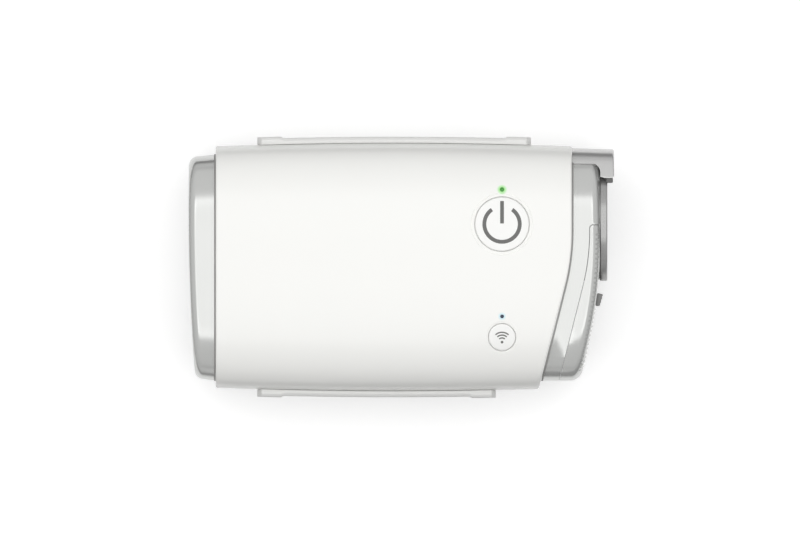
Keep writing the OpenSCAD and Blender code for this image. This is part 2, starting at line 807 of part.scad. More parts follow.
module top_cover() {
    color("white") difference() {
        union() {
            casing_half();
            inside_casing() union() {
                post(button_x, start_y, start_stop_z, z_top, start_r + sleeve_wall);
                post(button_x, -wireless_y, wireless_stop_z, z_top, wireless_r + sleeve_wall);
                for (p = case_screw_at) post(p[0], p[1], z_mid + seat, z_top, case_boss_r);
                for (p = board_screw_at) post(p[0], p[1], board_z, z_top, small_boss_r);
            }
        }
        post(button_x, start_y, z_mid, z_top + 1, start_r);
        post(button_x, -wireless_y, z_mid, z_top + 1, wireless_r);
        post(button_x, start_lamp_y, z_mid, z_top + 1, start_lamp_r + seat);
        post(button_x, wireless_lamp_y, z_mid, z_top + 1, wireless_lamp_r + seat);
        for (p = case_screw_at)
            post(p[0], p[1], z_mid - 1, case_head_z + case_screw_len + blind_room, case_screw_r + eps);
        for (p = board_screw_at)
            post(p[0], p[1], board_z - 1, board_z + board_screw_bite + blind_room, small_screw_r + eps);
    }
}

module feet_at() {
    for (x = [x_left + foot_left, x_seam - foot_right], y = [-foot_y, foot_y])
        translate([x, y, 0]) children();
}

module bottom_cover() {
    pocket_z = foot_h + foot_pocket;
    color("white") difference() {
        union() {
            translate([0, 0, 2 * z_mid]) mirror([0, 0, 1]) casing_half();
            inside_casing() union() {
                feet_at() translate([0, 0, foot_h])
                    cylinder(h = foot_pocket + foot_cup_top, r = foot_r + foot_cup_wall);
                for (p = case_screw_at) post(p[0], p[1], foot_h, z_mid - seat, case_boss_r);
                for (p = chassis_screw_at) post(p[0], p[1], foot_h, chassis_z0, small_boss_r);
            }
        }
        feet_at() translate([0, 0, -1]) cylinder(h = pocket_z + 1, r = foot_r + slip);
        for (p = case_screw_at) {
            post(p[0], p[1], -1, case_head_z, case_head_r + head_room);
            post(p[0], p[1], 0, z_mid + 1, case_screw_r + slip);
        }
        for (p = chassis_screw_at)
            post(p[0], p[1], foot_h + chassis_hole_up, chassis_z0 + 1, small_screw_r + eps);
    }
}

module left_end_cap() {
    steps = round_steps(cap_edge_r, 4);
    flange_x = x_left + spigot_len;
    hole_w = jack_w + 2 * jack_wall + 2 * slip;
    hole_h = jack_h + 2 * jack_wall + 2 * slip;
    color("silver") difference() {
        loft(concat(
            [for (s = steps) left_face_ring(s[0], cap_taper + s[1])],
            [left_flat_ring(x_left + lip_len + cap_gap, 0),
             left_flat_ring(x_left + lip_len + ramp + cap_gap, -trap),
             left_flat_ring(flange_x, -trap),
             left_flat_ring(flange_x, cap_wall),
             left_face_ring(cap_wall + cap_edge_r, cap_wall + cap_taper),
             left_face_ring(cap_wall, cap_wall + cap_taper + cap_edge_r * 0.6)]
        ));
        translate([x_cap - 1, -hole_w / 2, z_mid - hole_h / 2]) cube([cap_wall + 3, hole_w, hole_h]);
    }
}

module outlet_hood() {
    w = half_w(x_seam) - hood_inset;
    x0 = x_seam + cover_gap;
    corner = [x_face - end_corner_r, end_rear_y - end_corner_r];
    gap_r = end_corner_r + slip;
    steps = round_steps(hood_edge_r, 3);
    function hood_ring(x, inset) = [for (a = [0 : shell_step : 359])
        let (e = unit(a), k = w - inset - hood_taper * (x - x0) / (x_hood - x0))
        [x, e[0] * k, z_mid + e[1] * (hood_half_h - inset)]];
    color("gray") difference() {
        intersection() {
            loft(concat(
                [hood_ring(x0, 0)],
                [for (k = [len(steps) - 1 : -1 : 0]) hood_ring(x_hood - steps[k][0], steps[k][1])]
            ));
            full_height() polygon(concat(
                [[x0 - 1, casing_w], [x0 - 1, end_rear_y + slip]],
                [for (a = [90 : -15 : 0]) corner + gap_r * [cos(a), sin(a)]],
                [[x_face + slip, hood_tip_y + hood_round], [x_face + hood_lead, hood_tip_y],
                 [x_hood + 1, hood_tip_y], [x_hood + 1, casing_w]]
            ));
        }
        outlet_cylinder(x_face - 1, x_hood + 1, ring_r + ring_gap + hood_clear);
    }
}

// ---------- Outlet end ----------

// Region of the outlet end that the filter cover takes, grown by g
module cover_region(g) {
    y1 = cover_y + g;
    r = cover_corner_r + g;
    x1 = cover_x(y1) - g;
    front = -casing_w / 2 - 2;
    polygon(concat(
        [[x_face + 6, y1]],
        [for (a = [90 : 15 : 180]) [x1 + r + r * cos(a), y1 - r + r * sin(a)]],
        [for (y = [y1 - r - 1 : -2 : front]) [cover_x(y) - g, y]],
        [[cover_x(front) - g, front], [x_face + 6, front]]
    ));
}

window_y0 = -window_y - window_w / 2;
window_y1 = -window_y + window_w / 2;
collar_x = box_x1 + inlet_seal_t;

module end_frame() {
    inner_wall = cap_wall;
    color("silver") difference() {
        union() {
            difference() {
                outlet_form();
                full_height() cover_region(0);
                // step down to the hood behind the rear wall
                full_height() difference() {
                    translate([x_seam + cover_gap, end_rear_y - end_corner_r])
                        square([2 * outlet_len, casing_w]);
                    translate([x_seam - 1, end_rear_y - 2 * end_corner_r])
                        square([outlet_len + 1 - end_corner_r, 2 * end_corner_r]);
                    translate([x_face - end_corner_r, end_rear_y - end_corner_r]) circle(r = end_corner_r);
                }
                // hollow inside
                intersection() {
                    outlet_form_inside(inner_wall);
                    full_height() difference() {
                        translate([x_left, -casing_w])
                            square([x_face - x_left, casing_w + end_rear_y - inner_wall]);
                        cover_region(inner_wall);
                    }
                }
            }
            intersection() {
                outlet_cylinder(x_seam, x_face, boss_r);
                full_height() translate([cover_x(0) - inner_wall, -casing_w])
                    square([outlet_len, 2 * casing_w]);
            }
            intersection() {
                block(collar_x, x_face, window_y0 - duct_wall, window_y1 + duct_wall, box_z0, box_z1);
                full_height() difference() {
                    translate([x_left, -casing_w]) square(2 * casing_w);
                    cover_region(0);
                }
            }
        }
        outlet_cylinder(x_seam - spigot_len - 1, x_face + 1, ring_tube_r + slip);
        block(collar_x - 1, x_face, window_y0, window_y1, box_z0 + duct_wall, box_z1 - duct_wall);
    }
}

module outlet_ring() {
    x1 = x_face + ring_t;
    x0 = x_face - ring_tube_len;
    g0 = ring_tube_r + groove_in;
    color("dimgray") about_outlet([
        [x0, outlet_bore_r], [x0, ring_tube_r], [x_face, ring_tube_r], [x_face, ring_r],
        [x1 - ring_edge, ring_r], [x1, ring_r - ring_edge],
        [x1, g0 + seal_groove_w], [x1 - seal_groove_d, g0 + seal_groove_w],
        [x1 - seal_groove_d, g0], [x1, g0], [x1, outlet_bore_r]
    ]);
}

module outlet_seal() {
    x0 = x_face + ring_t - seal_groove_d;
    r0 = ring_tube_r + groove_in + slip;
    r1 = ring_tube_r + groove_in + seal_groove_w - slip;
    color("black") about_outlet([
        [x0, r0], [x0, r1], [x0 + seal_t * 0.7, r1], [x0 + seal_t, (r0 + r1) / 2],
        [x0 + seal_t * 0.7, r0]
    ]);
}

module outlet_duct() {
    s0 = stub_bore_r + scroll_wall + seat;
    s1 = ring_tube_r + seat;
    x0 = passage_x + duct_back;
    x1 = stub_x + duct_lap;
    x2 = x_face - ring_tube_len - duct_shoulder;
    x3 = x_face - ring_tube_len + duct_seat;
    color("gainsboro") about_outlet([
        [x0, s0], [x0, s0 + sleeve_t], [x1, s0 + sleeve_t], [x2, s1 + sleeve_t],
        [x3, s1 + sleeve_t], [x3, s1], [x2 + duct_shoulder - seat, s1],
        [x2 + duct_shoulder - seat, outlet_bore_r + duct_inset],
        [x2, outlet_bore_r + duct_inset], [x1, stub_bore_r], [stub_x + seat, stub_bore_r],
        [stub_x + seat, s0]
    ]);
}

// ---------- Filter cover ----------

pad_y = -window_y - pad_shift;
pad_place = [face_x(pad_y) - cover_wall - pad_t - pad_clear, pad_y];

module filter_cover() {
    pocket_y0 = -cap_w + cap_shift + pocket_side;
    pocket_y1 = outlet_y - ring_r - ring_gap - pocket_ring;
    pocket_half = slot_h / 2 + pocket_rim;
    slots = floor(grille_w / slot_pitch);
    color("silver") difference() {
        intersection() {
            outlet_form();
            full_height() cover_region(-cover_gap);
        }
        outlet_cylinder(x_seam, x_hood, ring_r + ring_gap);
        intersection() {
            outlet_form_inside(cover_wall);
            block(x_left, x_face, pocket_y0, pocket_y1, z_mid - pocket_half, z_mid + pocket_half);
        }
        for (k = [0 : slots])
            translate([x_seam, (k - slots / 2) * slot_pitch - grille_y - slot_w / 2, z_mid - slot_h / 2])
                cube([2 * outlet_len, slot_w, slot_h]);
    }
}

module filter_tab() {
    y0 = -tab_y;
    y1 = -tab_y - tab_len;
    color("dimgray") translate([0, 0, z_mid - tab_h / 2]) linear_extrude(tab_h) polygon([
        [face_x(y0) + seat, y0], [face_x(y0) + tab_reach, y0 - tab_rake],
        [face_x(y1) + tab_reach * tab_taper, y1], [face_x(y1) + seat, y1]
    ]);
}

module filter_pad() {
    color("whitesmoke") translate([pad_place[0], pad_place[1], z_mid]) rotate([0, 0, -face_angle])
        translate([-pad_t / 2, -filter_w / 2, -filter_h / 2]) cube([pad_t, filter_w, filter_h]);
}

// ---------- Rails ----------

// Ring of a rail's section at x, t thick and 2 h high
function rail_ring(x, t, h) =
    let (c = min(rail_bevel, t * 0.6),
         zs = [-h, -h / 2, 0, h / 2, h],
         side = function (z) half_w(x) * pow(1 - pow(abs(z) / half_h(x), section_power), 1 / section_power))
    concat(
        [[x, side(h) + rail_gap + t - c, z_mid + h], [x, side(h) + rail_gap, z_mid + h]],
        [for (k = [3 : -1 : 1]) [x, side(zs[k]) + rail_gap, z_mid + zs[k]]],
        [[x, side(h) + rail_gap, z_mid - h], [x, side(h) + rail_gap + t - c, z_mid - h],
         [x, side(h - c) + rail_gap + t, z_mid - h + c], [x, side(0) + rail_gap + t, z_mid],
         [x, side(h - c) + rail_gap + t, z_mid + h - c]]
    );

module rail(rail_len) {
    x0 = x_left + rail_start;
    x1 = x0 + rail_len;
    full = rail_t - rail_gap;
    h = rail_h / 2;
    pad = full + rail_pad_t;
    ease = rail_pad_t;
    left = [
        [0, full - rail_end_drop, h - rail_nose_drop], [rail_end, full, h], [rail_end + ease, pad, h],
        [rail_end + rail_pad_len - ease, pad, h], [rail_end + rail_pad_len, full, h]
    ];
    middle = [for (k = [1 : 6]) [x0 + rail_even + (rail_len - 2 * rail_even) * k / 7, full, h]];
    stations = concat(
        [for (s = left) [x0 + s[0], s[1], s[2]]],
        middle,
        [for (k = [len(left) - 1 : -1 : 0]) [x1 - left[k][0], left[k][1], left[k][2]]]
    );
    loft([for (s = stations) rail_ring(s[0], s[1], s[2])], 1);
}

module rear_rail() {
    color("lightgray") rail(rear_rail_len);
}

module front_rail() {
    color("lightgray") mirror([0, 1, 0]) rail(front_rail_len);
}

module rubber_feet() {
    color("dimgray") feet_at() rotate_extrude() polygon([
        [0, 0], [foot_r - foot_edge, 0], [foot_r, foot_edge], [foot_r, foot_h + foot_pocket],
        [0, foot_h + foot_pocket]
    ]);
}

// ---------- Buttons and lamps ----------

// Button cap: trimmed to the casing's surface, hollow below, with a stop flange and a stem
module button(y, r, stop_z, stem_z) {
    cap_r = r - button_gap;
    flange_z = stop_z - slip;
    roof = min(top_z(button_x, abs(y) + cap_r), top_z(button_x, abs(y))) - button_t;
    difference() {
        union() {
            intersection() {
                casing_fill(seat);
                post(button_x, y, flange_z - flange_t, z_top, cap_r);
            }
            post(button_x, y, flange_z - flange_t, flange_z, r + flange_w);
        }
        difference() {
            post(button_x, y, flange_z - flange_t - 1, roof, cap_r - button_wall);
            post(button_x, y, stem_z, z_top, min(stem_r, cap_r - stem_in));
        }
    }
}

plunger_r = stem_r - stem_rim;
plunger_drop = 0.2;
start_plunger_top = start_stop_z - plunger_drop;
wireless_plunger_top = wireless_stop_z - plunger_drop;

module plunger(y, h, top) {
    post(button_x, y, board_z + h - plunger_dip, top, plunger_r);
}

module push_switch(y, w, h) {
    difference() {
        block(button_x - w / 2, button_x + w / 2, y - w / 2, y + w / 2, board_z, board_z + h);
        post(button_x, y, board_z + h - plunger_dip - button_travel - slip, board_z + h + 1,
            plunger_r + slip);
    }
}

module start_button() {
    color("white") button(start_y, start_r, start_stop_z, start_plunger_top);
}

module start_plunger() {
    color("black") plunger(start_y, start_switch_h, start_plunger_top);
}

module start_switch() {
    color("silver") push_switch(start_y, start_switch_w, start_switch_h);
}

module wireless_button() {
    color("white") button(-wireless_y, wireless_r, wireless_stop_z, wireless_plunger_top);
}

module wireless_plunger() {
    color("black") plunger(-wireless_y, wireless_switch_h, wireless_plunger_top);
}

module wireless_switch() {
    color("silver") push_switch(-wireless_y, wireless_switch_w, wireless_switch_h);
}

chip_h = 0.8;
lamp_foot = 1;

module lamp(y, r) {
    z0 = board_z + chip_h + slip;
    translate([button_x, y, z0]) cylinder(h = top_z(button_x, y) - z0, r = r);
    translate([button_x, y, z0]) cylinder(h = lamp_foot, r = r + lamp_rim);
}

module start_lamp() {
    color("limegreen") lamp(start_lamp_y, start_lamp_r);
}

module wireless_lamp() {
    color("navy") lamp(wireless_lamp_y, wireless_lamp_r);
}

module lamp_chips() {
    color("khaki") for (y = [start_lamp_y, wireless_lamp_y])
        chip(button_x, y, lamp_chip_w, lamp_chip_d, chip_h);
}

// ---------- Power inlet ----------

jack_x0 = cap_x(0) + jack_recess;
jack_x1 = jack_x0 + jack_depth + jack_back_t;

module power_jack() {
    w = jack_w / 2 + jack_wall;
    h = jack_h / 2 + jack_wall;
    color("black") difference() {
        block(jack_x0, jack_x1, -w, w, z_mid - h, z_mid + h);
        block(jack_x0 - 1, jack_x0 + jack_depth, -jack_w / 2, jack_w / 2,
            z_mid - jack_h / 2, z_mid + jack_h / 2);
        for (k = [-1 : 1]) translate([jack_x0, k * pin_pitch, z_mid]) rotate([0, 90, 0])
            cylinder(h = jack_x1 - jack_x0 + 1, r = pin_r + eps);
    }
}

module jack_pins() {
    color("gold") for (k = [-1 : 1])
        translate([jack_x0 + jack_depth - pin_len, k * pin_pitch, z_mid]) rotate([0, 90, 0])
            cylinder(h = pin_len + jack_back_t + pin_tail, r = pin_r);
}

// ---------- Chassis and blower ----------

module mounts_at() {
    for (a = mount_angles)
        let (r = scroll_r((scroll_tongue - a + 2 * 360) % 360) + scroll_wall + mount_out)
        translate([rotor_x + r * cos(a), rotor_y + r * sin(a), 0]) children();
}

module chassis() {
    color("lightgray") difference() {
        union() {
            block(chassis_x0, chassis_x1, -chassis_w / 2, chassis_w / 2, chassis_z0, chassis_z1);
            mounts_at() translate([0, 0, chassis_z0])
                cylinder(h = chassis_t + mount_cup_h, r = mount_r + mount_rim);
        }
        mounts_at() translate([0, 0, chassis_z1]) cylinder(h = mount_cup_h + 1, r = mount_r + slip);
        for (p = chassis_screw_at) post(p[0], p[1], chassis_z0 - 1, chassis_z1 + 1, small_screw_r + slip);
        post(rotor_x, rotor_y, chassis_z0 - 1, chassis_z1 + 1, can_r * 0.6);
    }
}

module chassis_screws() {
    color("silver") for (p = chassis_screw_at) {
        post(p[0], p[1], chassis_z1, chassis_z1 + small_head_h, small_head_r);
        post(p[0], p[1], foot_h + chassis_hole_up + blind_room, chassis_z1, small_screw_r);
    }
}

module blower_mounts() {
    color("slategray") mounts_at() translate([0, 0, chassis_z1])
        cylinder(h = scroll_z0 - chassis_z1, r = mount_r);
}

// Spiral radius after a turn of p degrees from the tongue
scroll_tongue = asin((outlet_y - stub_bore_r - rotor_y) / scroll_start_r);
scroll_turn = 270 + scroll_tongue;
function scroll_r(p) = scroll_start_r + (scroll_end_r - scroll_start_r) * min(p / scroll_turn, 1);

module scroll_outline(g) {
    polygon([for (p = [0 : scroll_turn / 60 : scroll_turn])
        (scroll_r(p) + g) * [cos(scroll_tongue - p), sin(scroll_tongue - p)]]);
    translate([0, outlet_y - stub_bore_r - rotor_y - g])
        square([passage_len, 2 * (stub_bore_r + g)]);
}

module scroll() {
    difference() {
        union() {
            translate([rotor_x, rotor_y, scroll_z0]) linear_extrude(scroll_z1 - scroll_z0)
                scroll_outline(scroll_wall);
            outlet_cylinder(passage_x - 1, stub_x, stub_bore_r + scroll_wall);
        }
        translate([rotor_x, rotor_y, z_mid - stub_bore_r]) linear_extrude(2 * stub_bore_r)
            scroll_outline(0);
        outlet_cylinder(passage_x - 2, stub_x + 1, stub_bore_r);
    }
}

module scroll_base() {
    color("whitesmoke") difference() {
        union() {
            intersection() {
                scroll();
                block(rotor_x - casing_w, stub_x + 1, -casing_w, casing_w, scroll_z0 - 1, z_mid);
            }
            mounts_at() translate([0, 0, scroll_z0]) cylinder(h = scroll_wall, r = mount_r + mount_rim / 2);
        }
        post(rotor_x, rotor_y, scroll_z0 - 1, scroll_z0 + scroll_wall + 1, shaft_r + shaft_room);
    }
}

module scroll_lid() {
    color("whitesmoke") difference() {
        intersection() {
            scroll();
            block(rotor_x - casing_w, stub_x + 1, -casing_w, casing_w, z_mid, scroll_z1 + 1);
        }
        post(rotor_x, rotor_y, z_mid + 1, scroll_z1 + 1, inlet_r);
    }
}

impeller_z0 = z_mid - stub_bore_r + impeller_gap;

module blade() {
    steps = 8;
    half = blade_t / 2 * 180 / PI;
    function at(t, side) =
        let (r = hub_r - blade_root + (impeller_r - hub_r) * t, a = blade_sweep * t + side * half / r)
        [r * cos(a), r * sin(a)];
    translate([0, 0, impeller_plate / 2]) linear_extrude(impeller_h - impeller_plate) polygon(concat(
        [for (k = [0 : steps]) at(k / steps, -1)],
        [for (k = [steps : -1 : 0]) at(k / steps, 1)]
    ));
}

module impeller() {
    color("whitesmoke") translate([rotor_x, rotor_y, impeller_z0]) difference() {
        union() {
            cylinder(h = impeller_plate, r = impeller_r);
            cylinder(h = impeller_h, r = hub_r);
            for (k = [0 : blades - 1]) rotate([0, 0, k * 360 / blades]) blade();
        }
        translate([0, 0, -1]) cylinder(h = impeller_h + 2, r = shaft_r + eps);
    }
}

// ---------- Motor ----------

bearing_cup = 1;
lower_bearing_z = can_z0 + can_wall + bearing_low;
upper_bearing_z = scroll_z0 - bearing_h - bearing_top;
magnet_z0 = lower_bearing_z + bearing_h + magnet_play;
magnet_z1 = upper_bearing_z - magnet_play;
core_mid_z = (magnet_z0 + magnet_z1) / 2;
core_h = 2 * (scroll_z0 - can_lid - coil_room - coil_t - core_mid_z);
core_r = can_r - can_wall - seat;
can_mid_z = (can_z0 + scroll_z0) / 2;
can_window = motor_cable_r + blind_room;

module rotor_shaft() {
    color("silver") post(rotor_x, rotor_y, lower_bearing_z + slip, impeller_z0 + impeller_h, shaft_r);
}

module rotor_magnet() {
    color("dimgray") difference() {
        post(rotor_x, rotor_y, magnet_z0, magnet_z1, magnet_r);
        post(rotor_x, rotor_y, magnet_z0 - 1, magnet_z1 + 1, shaft_r + eps);
    }
}

module teeth_at() {
    for (k = [0 : teeth - 1]) translate([rotor_x, rotor_y, core_mid_z]) rotate([0, 0, k * 360 / teeth])
        children();
}

tooth_in = magnet_r + air_gap;
ring_in = core_r - core_ring;

module stator_core() {
    color("silver") difference() {
        union() {
            difference() {
                post(rotor_x, rotor_y, core_mid_z - core_h / 2, core_mid_z + core_h / 2, core_r);
                post(rotor_x, rotor_y, core_mid_z - core_h, core_mid_z + core_h, ring_in);
            }
            teeth_at() translate([tooth_in - 1, -tooth_w / 2, -core_h / 2])
                cube([ring_in - tooth_in + tooth_lap, tooth_w, core_h]);
        }
        post(rotor_x, rotor_y, core_mid_z - core_h, core_mid_z + core_h, tooth_in);
    }
}

module stator_coils() {
    x0 = ring_in - coil_len - coil_back;
    w = tooth_w + 2 * coil_t;
    h = core_h + 2 * coil_t;
    color("peru") teeth_at() difference() {
        translate([x0, -w / 2, -h / 2]) cube([coil_len, w, h]);
        translate([x0 - 1, -tooth_w / 2 - seat, -core_h / 2 - seat])
            cube([coil_len + 2, tooth_w + 2 * seat, core_h + 2 * seat]);
    }
}

module motor_can() {
    color("silver") difference() {
        union() {
            difference() {
                post(rotor_x, rotor_y, can_z0, scroll_z0, can_r);
                post(rotor_x, rotor_y, can_z0 + can_wall, scroll_z0 + 1, can_r - can_wall);
            }
            post(rotor_x, rotor_y, can_z0, lower_bearing_z + bearing_h * 0.6, bearing_r + bearing_cup);
            difference() {
                post(rotor_x, rotor_y, upper_bearing_z, scroll_z0, can_r - can_wall / 2);
                post(rotor_x, rotor_y, upper_bearing_z - 1, scroll_z0 - can_lid, can_r - can_wall);
            }
            post(rotor_x, rotor_y, upper_bearing_z, scroll_z0, bearing_r + bearing_cup);
        }
        post(rotor_x, rotor_y, lower_bearing_z - eps, lower_bearing_z + bearing_h + 1, bearing_r + eps);
        post(rotor_x, rotor_y, upper_bearing_z - 1, upper_bearing_z + bearing_h, bearing_r + eps);
        post(rotor_x, rotor_y, scroll_z0 - 2, scroll_z0 + 1, shaft_r + shaft_room);
        // way out for the motor cable
        block(rotor_x - can_r - 2, rotor_x - can_r + 2 * can_wall, rotor_y - can_window,
            rotor_y + can_window, can_mid_z - can_window, can_mid_z + can_window);
    }
}

module bearing(z) {
    difference() {
        post(rotor_x, rotor_y, z, z + bearing_h, bearing_r);
        post(rotor_x, rotor_y, z - 1, z + bearing_h + 1, shaft_r + shaft_clear);
    }
}

module lower_bearing() {
    color("silver") bearing(lower_bearing_z);
}

module upper_bearing() {
    color("silver") bearing(upper_bearing_z);
}

// ---------- Air path ----------

module inlet_gasket() {
    color("slategray") difference() {
        post(rotor_x, rotor_y, scroll_z1, scroll_z1 + gasket_t, inlet_r + gasket_rim);
        post(rotor_x, rotor_y, scroll_z1 - 1, scroll_z1 + gasket_t + 1, inlet_r);
    }
}

plenum_r = inlet_r + gasket_rim + slip;
plenum_x0 = rotor_x - plenum_r;
plenum_x1 = box_x0 + plenum_over;
plenum_y0 = rotor_y - plenum_r;
plenum_y1 = rotor_y + plenum_r;

module inlet_duct() {
    t = duct_wall;
    color("whitesmoke") difference() {
        union() {
            block(box_x0, box_x1, box_y0, box_y1, box_z0, box_z1);
            block(plenum_x0, box_x0, plenum_y0, plenum_y1, plenum_z0, plenum_z1);
            block(box_x0 - 1, plenum_x1, plenum_y0, box_y1, plenum_z0, plenum_z1);
        }
        block(box_x0 + t, box_x1 - t, box_y0 + t, box_y1 - t, box_z0 + t, box_z1 - t);
        block(box_x1 - 2 * t, box_x1 + 1, window_y0, window_y1, box_z0 + t, box_z1 - t);
        block(plenum_x0 + t, box_x0 - t, plenum_y0 + t, plenum_y1 - t, plenum_z0 + t, plenum_z1 - t);
        block(box_x0 - 2 * t, plenum_x1 - t, plenum_y0 + t, box_y1 - t, plenum_z0 + t, plenum_z1 - t);
        block(box_x0 + t, plenum_x1 - t, plenum_y0 + t, box_y1 - t, z_mid, plenum_z1 - t);
        post(rotor_x, rotor_y, plenum_z0 - 1, plenum_z0 + t + 1, inlet_r);
    }
}

module inlet_foam() {
    t = duct_wall + slip;
    color("dimgray") block(box_x0 + t, box_x0 + t + foam_t, box_y0 + t, box_y1 - t,
        box_z0 + t, plenum_z0 - blind_room);
}

module inlet_seal() {
    color("slategray") difference() {
        block(box_x1, collar_x, window_y0 - duct_wall, window_y1 + duct_wall, box_z0, box_z1);
        block(box_x1 - 1, collar_x + 1, window_y0, window_y1, box_z0 + duct_wall, box_z1 - duct_wall);
    }
}

// ---------- Circuit board ----------

module circuit_board() {
    color("darkgreen") difference() {
        block(board_x0, board_x1, -board_w / 2, board_w / 2, board_under, board_z);
        for (p = case_screw_at) post(p[0], p[1], board_under - 1, board_z + 1, case_boss_r + blind_room);
        for (p = board_screw_at) post(p[0], p[1], board_under - 1, board_z + 1, small_screw_r + slip);
    }
}

module chip(x, y, w, d, h) {
    block(x - w / 2, x + w / 2, y - d / 2, y + d / 2, board_z, board_z + h);
}

module processor() {
    color("black") chip(board_x0 + processor_x, processor_y, processor_w, processor_w, processor_h);
}

module power_chip() {
    color("black") chip(board_x0 + power_chip_x, power_chip_in - board_w / 2,
        power_chip_w, power_chip_w, power_chip_h);
}

module capacitors() {
    color("slateblue") for (y = [-capacitor_y, capacitor_pitch - capacitor_y])
        post(board_x0 + capacitor_x, y, board_z, board_z + capacitor_h, capacitor_r);
}

module inductor() {
    color("gray") chip(board_x0 + inductor_x, inductor_in - board_w / 2, inductor_w, inductor_w, inductor_h);
}

module wireless_module() {
    color("silver") chip(board_x0 + module_x, module_in - board_w / 2, module_len, module_w, module_h);
}

module pressure_sensor() {
    x = board_x0 + module_x;
    y = board_w / 2 - sensor_in;
    z1 = board_z + sensor_h;
    color("lightgray") union() {
        chip(x, y, sensor_w, sensor_w, sensor_h);
        for (side = [-0.5, 0.5]) post(x + side * nipple_pitch, y, z1 - 1, z1 + nipple_h, nipple_r);
    }
}

connector_x = board_x0 + connector_left;
motor_plug_y = -motor_plug_front;

module board_connectors() {
    color("ivory") for (y = [motor_plug_y, power_plug_y])
        chip(connector_x, y, connector_len, connector_w, connector_h);
}

module board_screws() {
    color("silver") for (p = board_screw_at)
        screw(p[0], p[1], board_under, small_head_r, small_head_h, small_screw_r,
            board_t + board_screw_bite);
}

// ---------- Cables ----------

plug_face = connector_x - connector_len / 2;
plug_z = board_z + connector_h * 0.55;
rise_x = board_x0 - 4.4;

motor_route = [
    [rotor_x - core_r - slip, rotor_y, can_mid_z], [rotor_x - can_r - 6, rotor_y, can_mid_z],
    [rise_x + 3, rotor_y, can_mid_z + 0.4], [rise_x + 0.8, rotor_y, scroll_z0 - 2.6],
    [rise_x, rotor_y, scroll_z0 + 1], [rise_x, (rotor_y + motor_plug_y) / 2, z_mid + 5],
    [rise_x, motor_plug_y, board_under - 3], [rise_x + 0.6, motor_plug_y, plug_z - 1.4],
    [rise_x + 2.2, motor_plug_y, plug_z], [plug_face - eps, motor_plug_y, plug_z]
];

module motor_cable() {
    color("red") cable(motor_route, motor_cable_r);
}

jack_back = jack_x1 + 2.2;
power_route = [
    [jack_x1 + eps, 5.5, z_mid + 1.5], [jack_back + 0.4, 5.5, z_mid + 1.5],
    [jack_back + 3.2, 5.7, z_mid + 2.2], [jack_back + 5, 6.2, z_mid + 4.6],
    [jack_back + 5.8, 6.8, z_mid + 8], [rise_x - 2.6, 7.6, board_under - 3],
    [rise_x - 1.4, power_plug_y, plug_z - 1.6], [rise_x + 0.6, power_plug_y, plug_z],
    [plug_face - eps, power_plug_y, plug_z]
];

module power_cable() {
    color("black") cable(power_route, power_cable_r);
}

module case_screws() {
    color("silver") for (p = case_screw_at)
        screw(p[0], p[1], case_head_z, case_head_r, case_head_h, case_screw_r, case_screw_len);
}

top_cover();
bottom_cover();
left_end_cap();
end_frame();
outlet_hood();
outlet_ring();
outlet_seal();
filter_cover();
filter_tab();
filter_pad();
rear_rail();
front_rail();
rubber_feet();
start_button();
start_plunger();
start_switch();
wireless_button();
wireless_plunger();
wireless_switch();
start_lamp();
wireless_lamp();
power_jack();
jack_pins();
chassis();
chassis_screws();
blower_mounts();
scroll_base();
scroll_lid();
impeller();
rotor_shaft();
rotor_magnet();
stator_core();
stator_coils();
motor_can();
lower_bearing();
upper_bearing();
inlet_gasket();
inlet_duct();
inlet_foam();
inlet_seal();
outlet_duct();
circuit_board();
processor();
power_chip();
capacitors();
inductor();
wireless_module();
pressure_sensor();
board_connectors();
lamp_chips();
board_screws();
motor_cable();
power_cable();
case_screws();
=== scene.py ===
import json
import math

import bmesh
import bpy
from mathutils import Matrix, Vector


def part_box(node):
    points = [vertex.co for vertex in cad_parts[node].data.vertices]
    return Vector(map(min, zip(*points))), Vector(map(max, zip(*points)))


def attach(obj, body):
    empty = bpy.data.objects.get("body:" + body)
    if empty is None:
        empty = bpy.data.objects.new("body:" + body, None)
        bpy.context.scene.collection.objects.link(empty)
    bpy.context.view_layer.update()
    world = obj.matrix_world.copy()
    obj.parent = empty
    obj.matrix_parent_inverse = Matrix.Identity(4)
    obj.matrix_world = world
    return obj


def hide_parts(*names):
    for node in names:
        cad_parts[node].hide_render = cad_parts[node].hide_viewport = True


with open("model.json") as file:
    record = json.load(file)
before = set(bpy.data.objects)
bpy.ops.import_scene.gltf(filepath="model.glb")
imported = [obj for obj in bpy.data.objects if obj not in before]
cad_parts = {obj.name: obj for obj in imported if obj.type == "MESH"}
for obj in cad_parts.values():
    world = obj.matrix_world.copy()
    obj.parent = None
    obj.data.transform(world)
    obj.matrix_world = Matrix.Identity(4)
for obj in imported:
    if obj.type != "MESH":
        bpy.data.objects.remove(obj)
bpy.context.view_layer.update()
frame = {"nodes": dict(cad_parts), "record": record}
print("frame loaded")

mm = 0.001


def boxOf(node):
    low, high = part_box(node)
    return low / mm, high / mm


def middleOf(node):
    low, high = boxOf(node)
    return (low + high) / 2


# The casing's and the end caps' shape, in mm. Places come from the frame's own boxes.

topLow, topHigh = boxOf("top_cover")
bottomLow = boxOf("bottom_cover")[0]
capLow = boxOf("left_end_cap")[0]
frameHigh = boxOf("end_frame")[1]
hoodHigh = boxOf("outlet_hood")[1]
ringLow, ringHigh = boxOf("outlet_ring")
jackLow, jackHigh = boxOf("power_jack")
startMiddle = middleOf("start_button")
wirelessMiddle = middleOf("wireless_button")

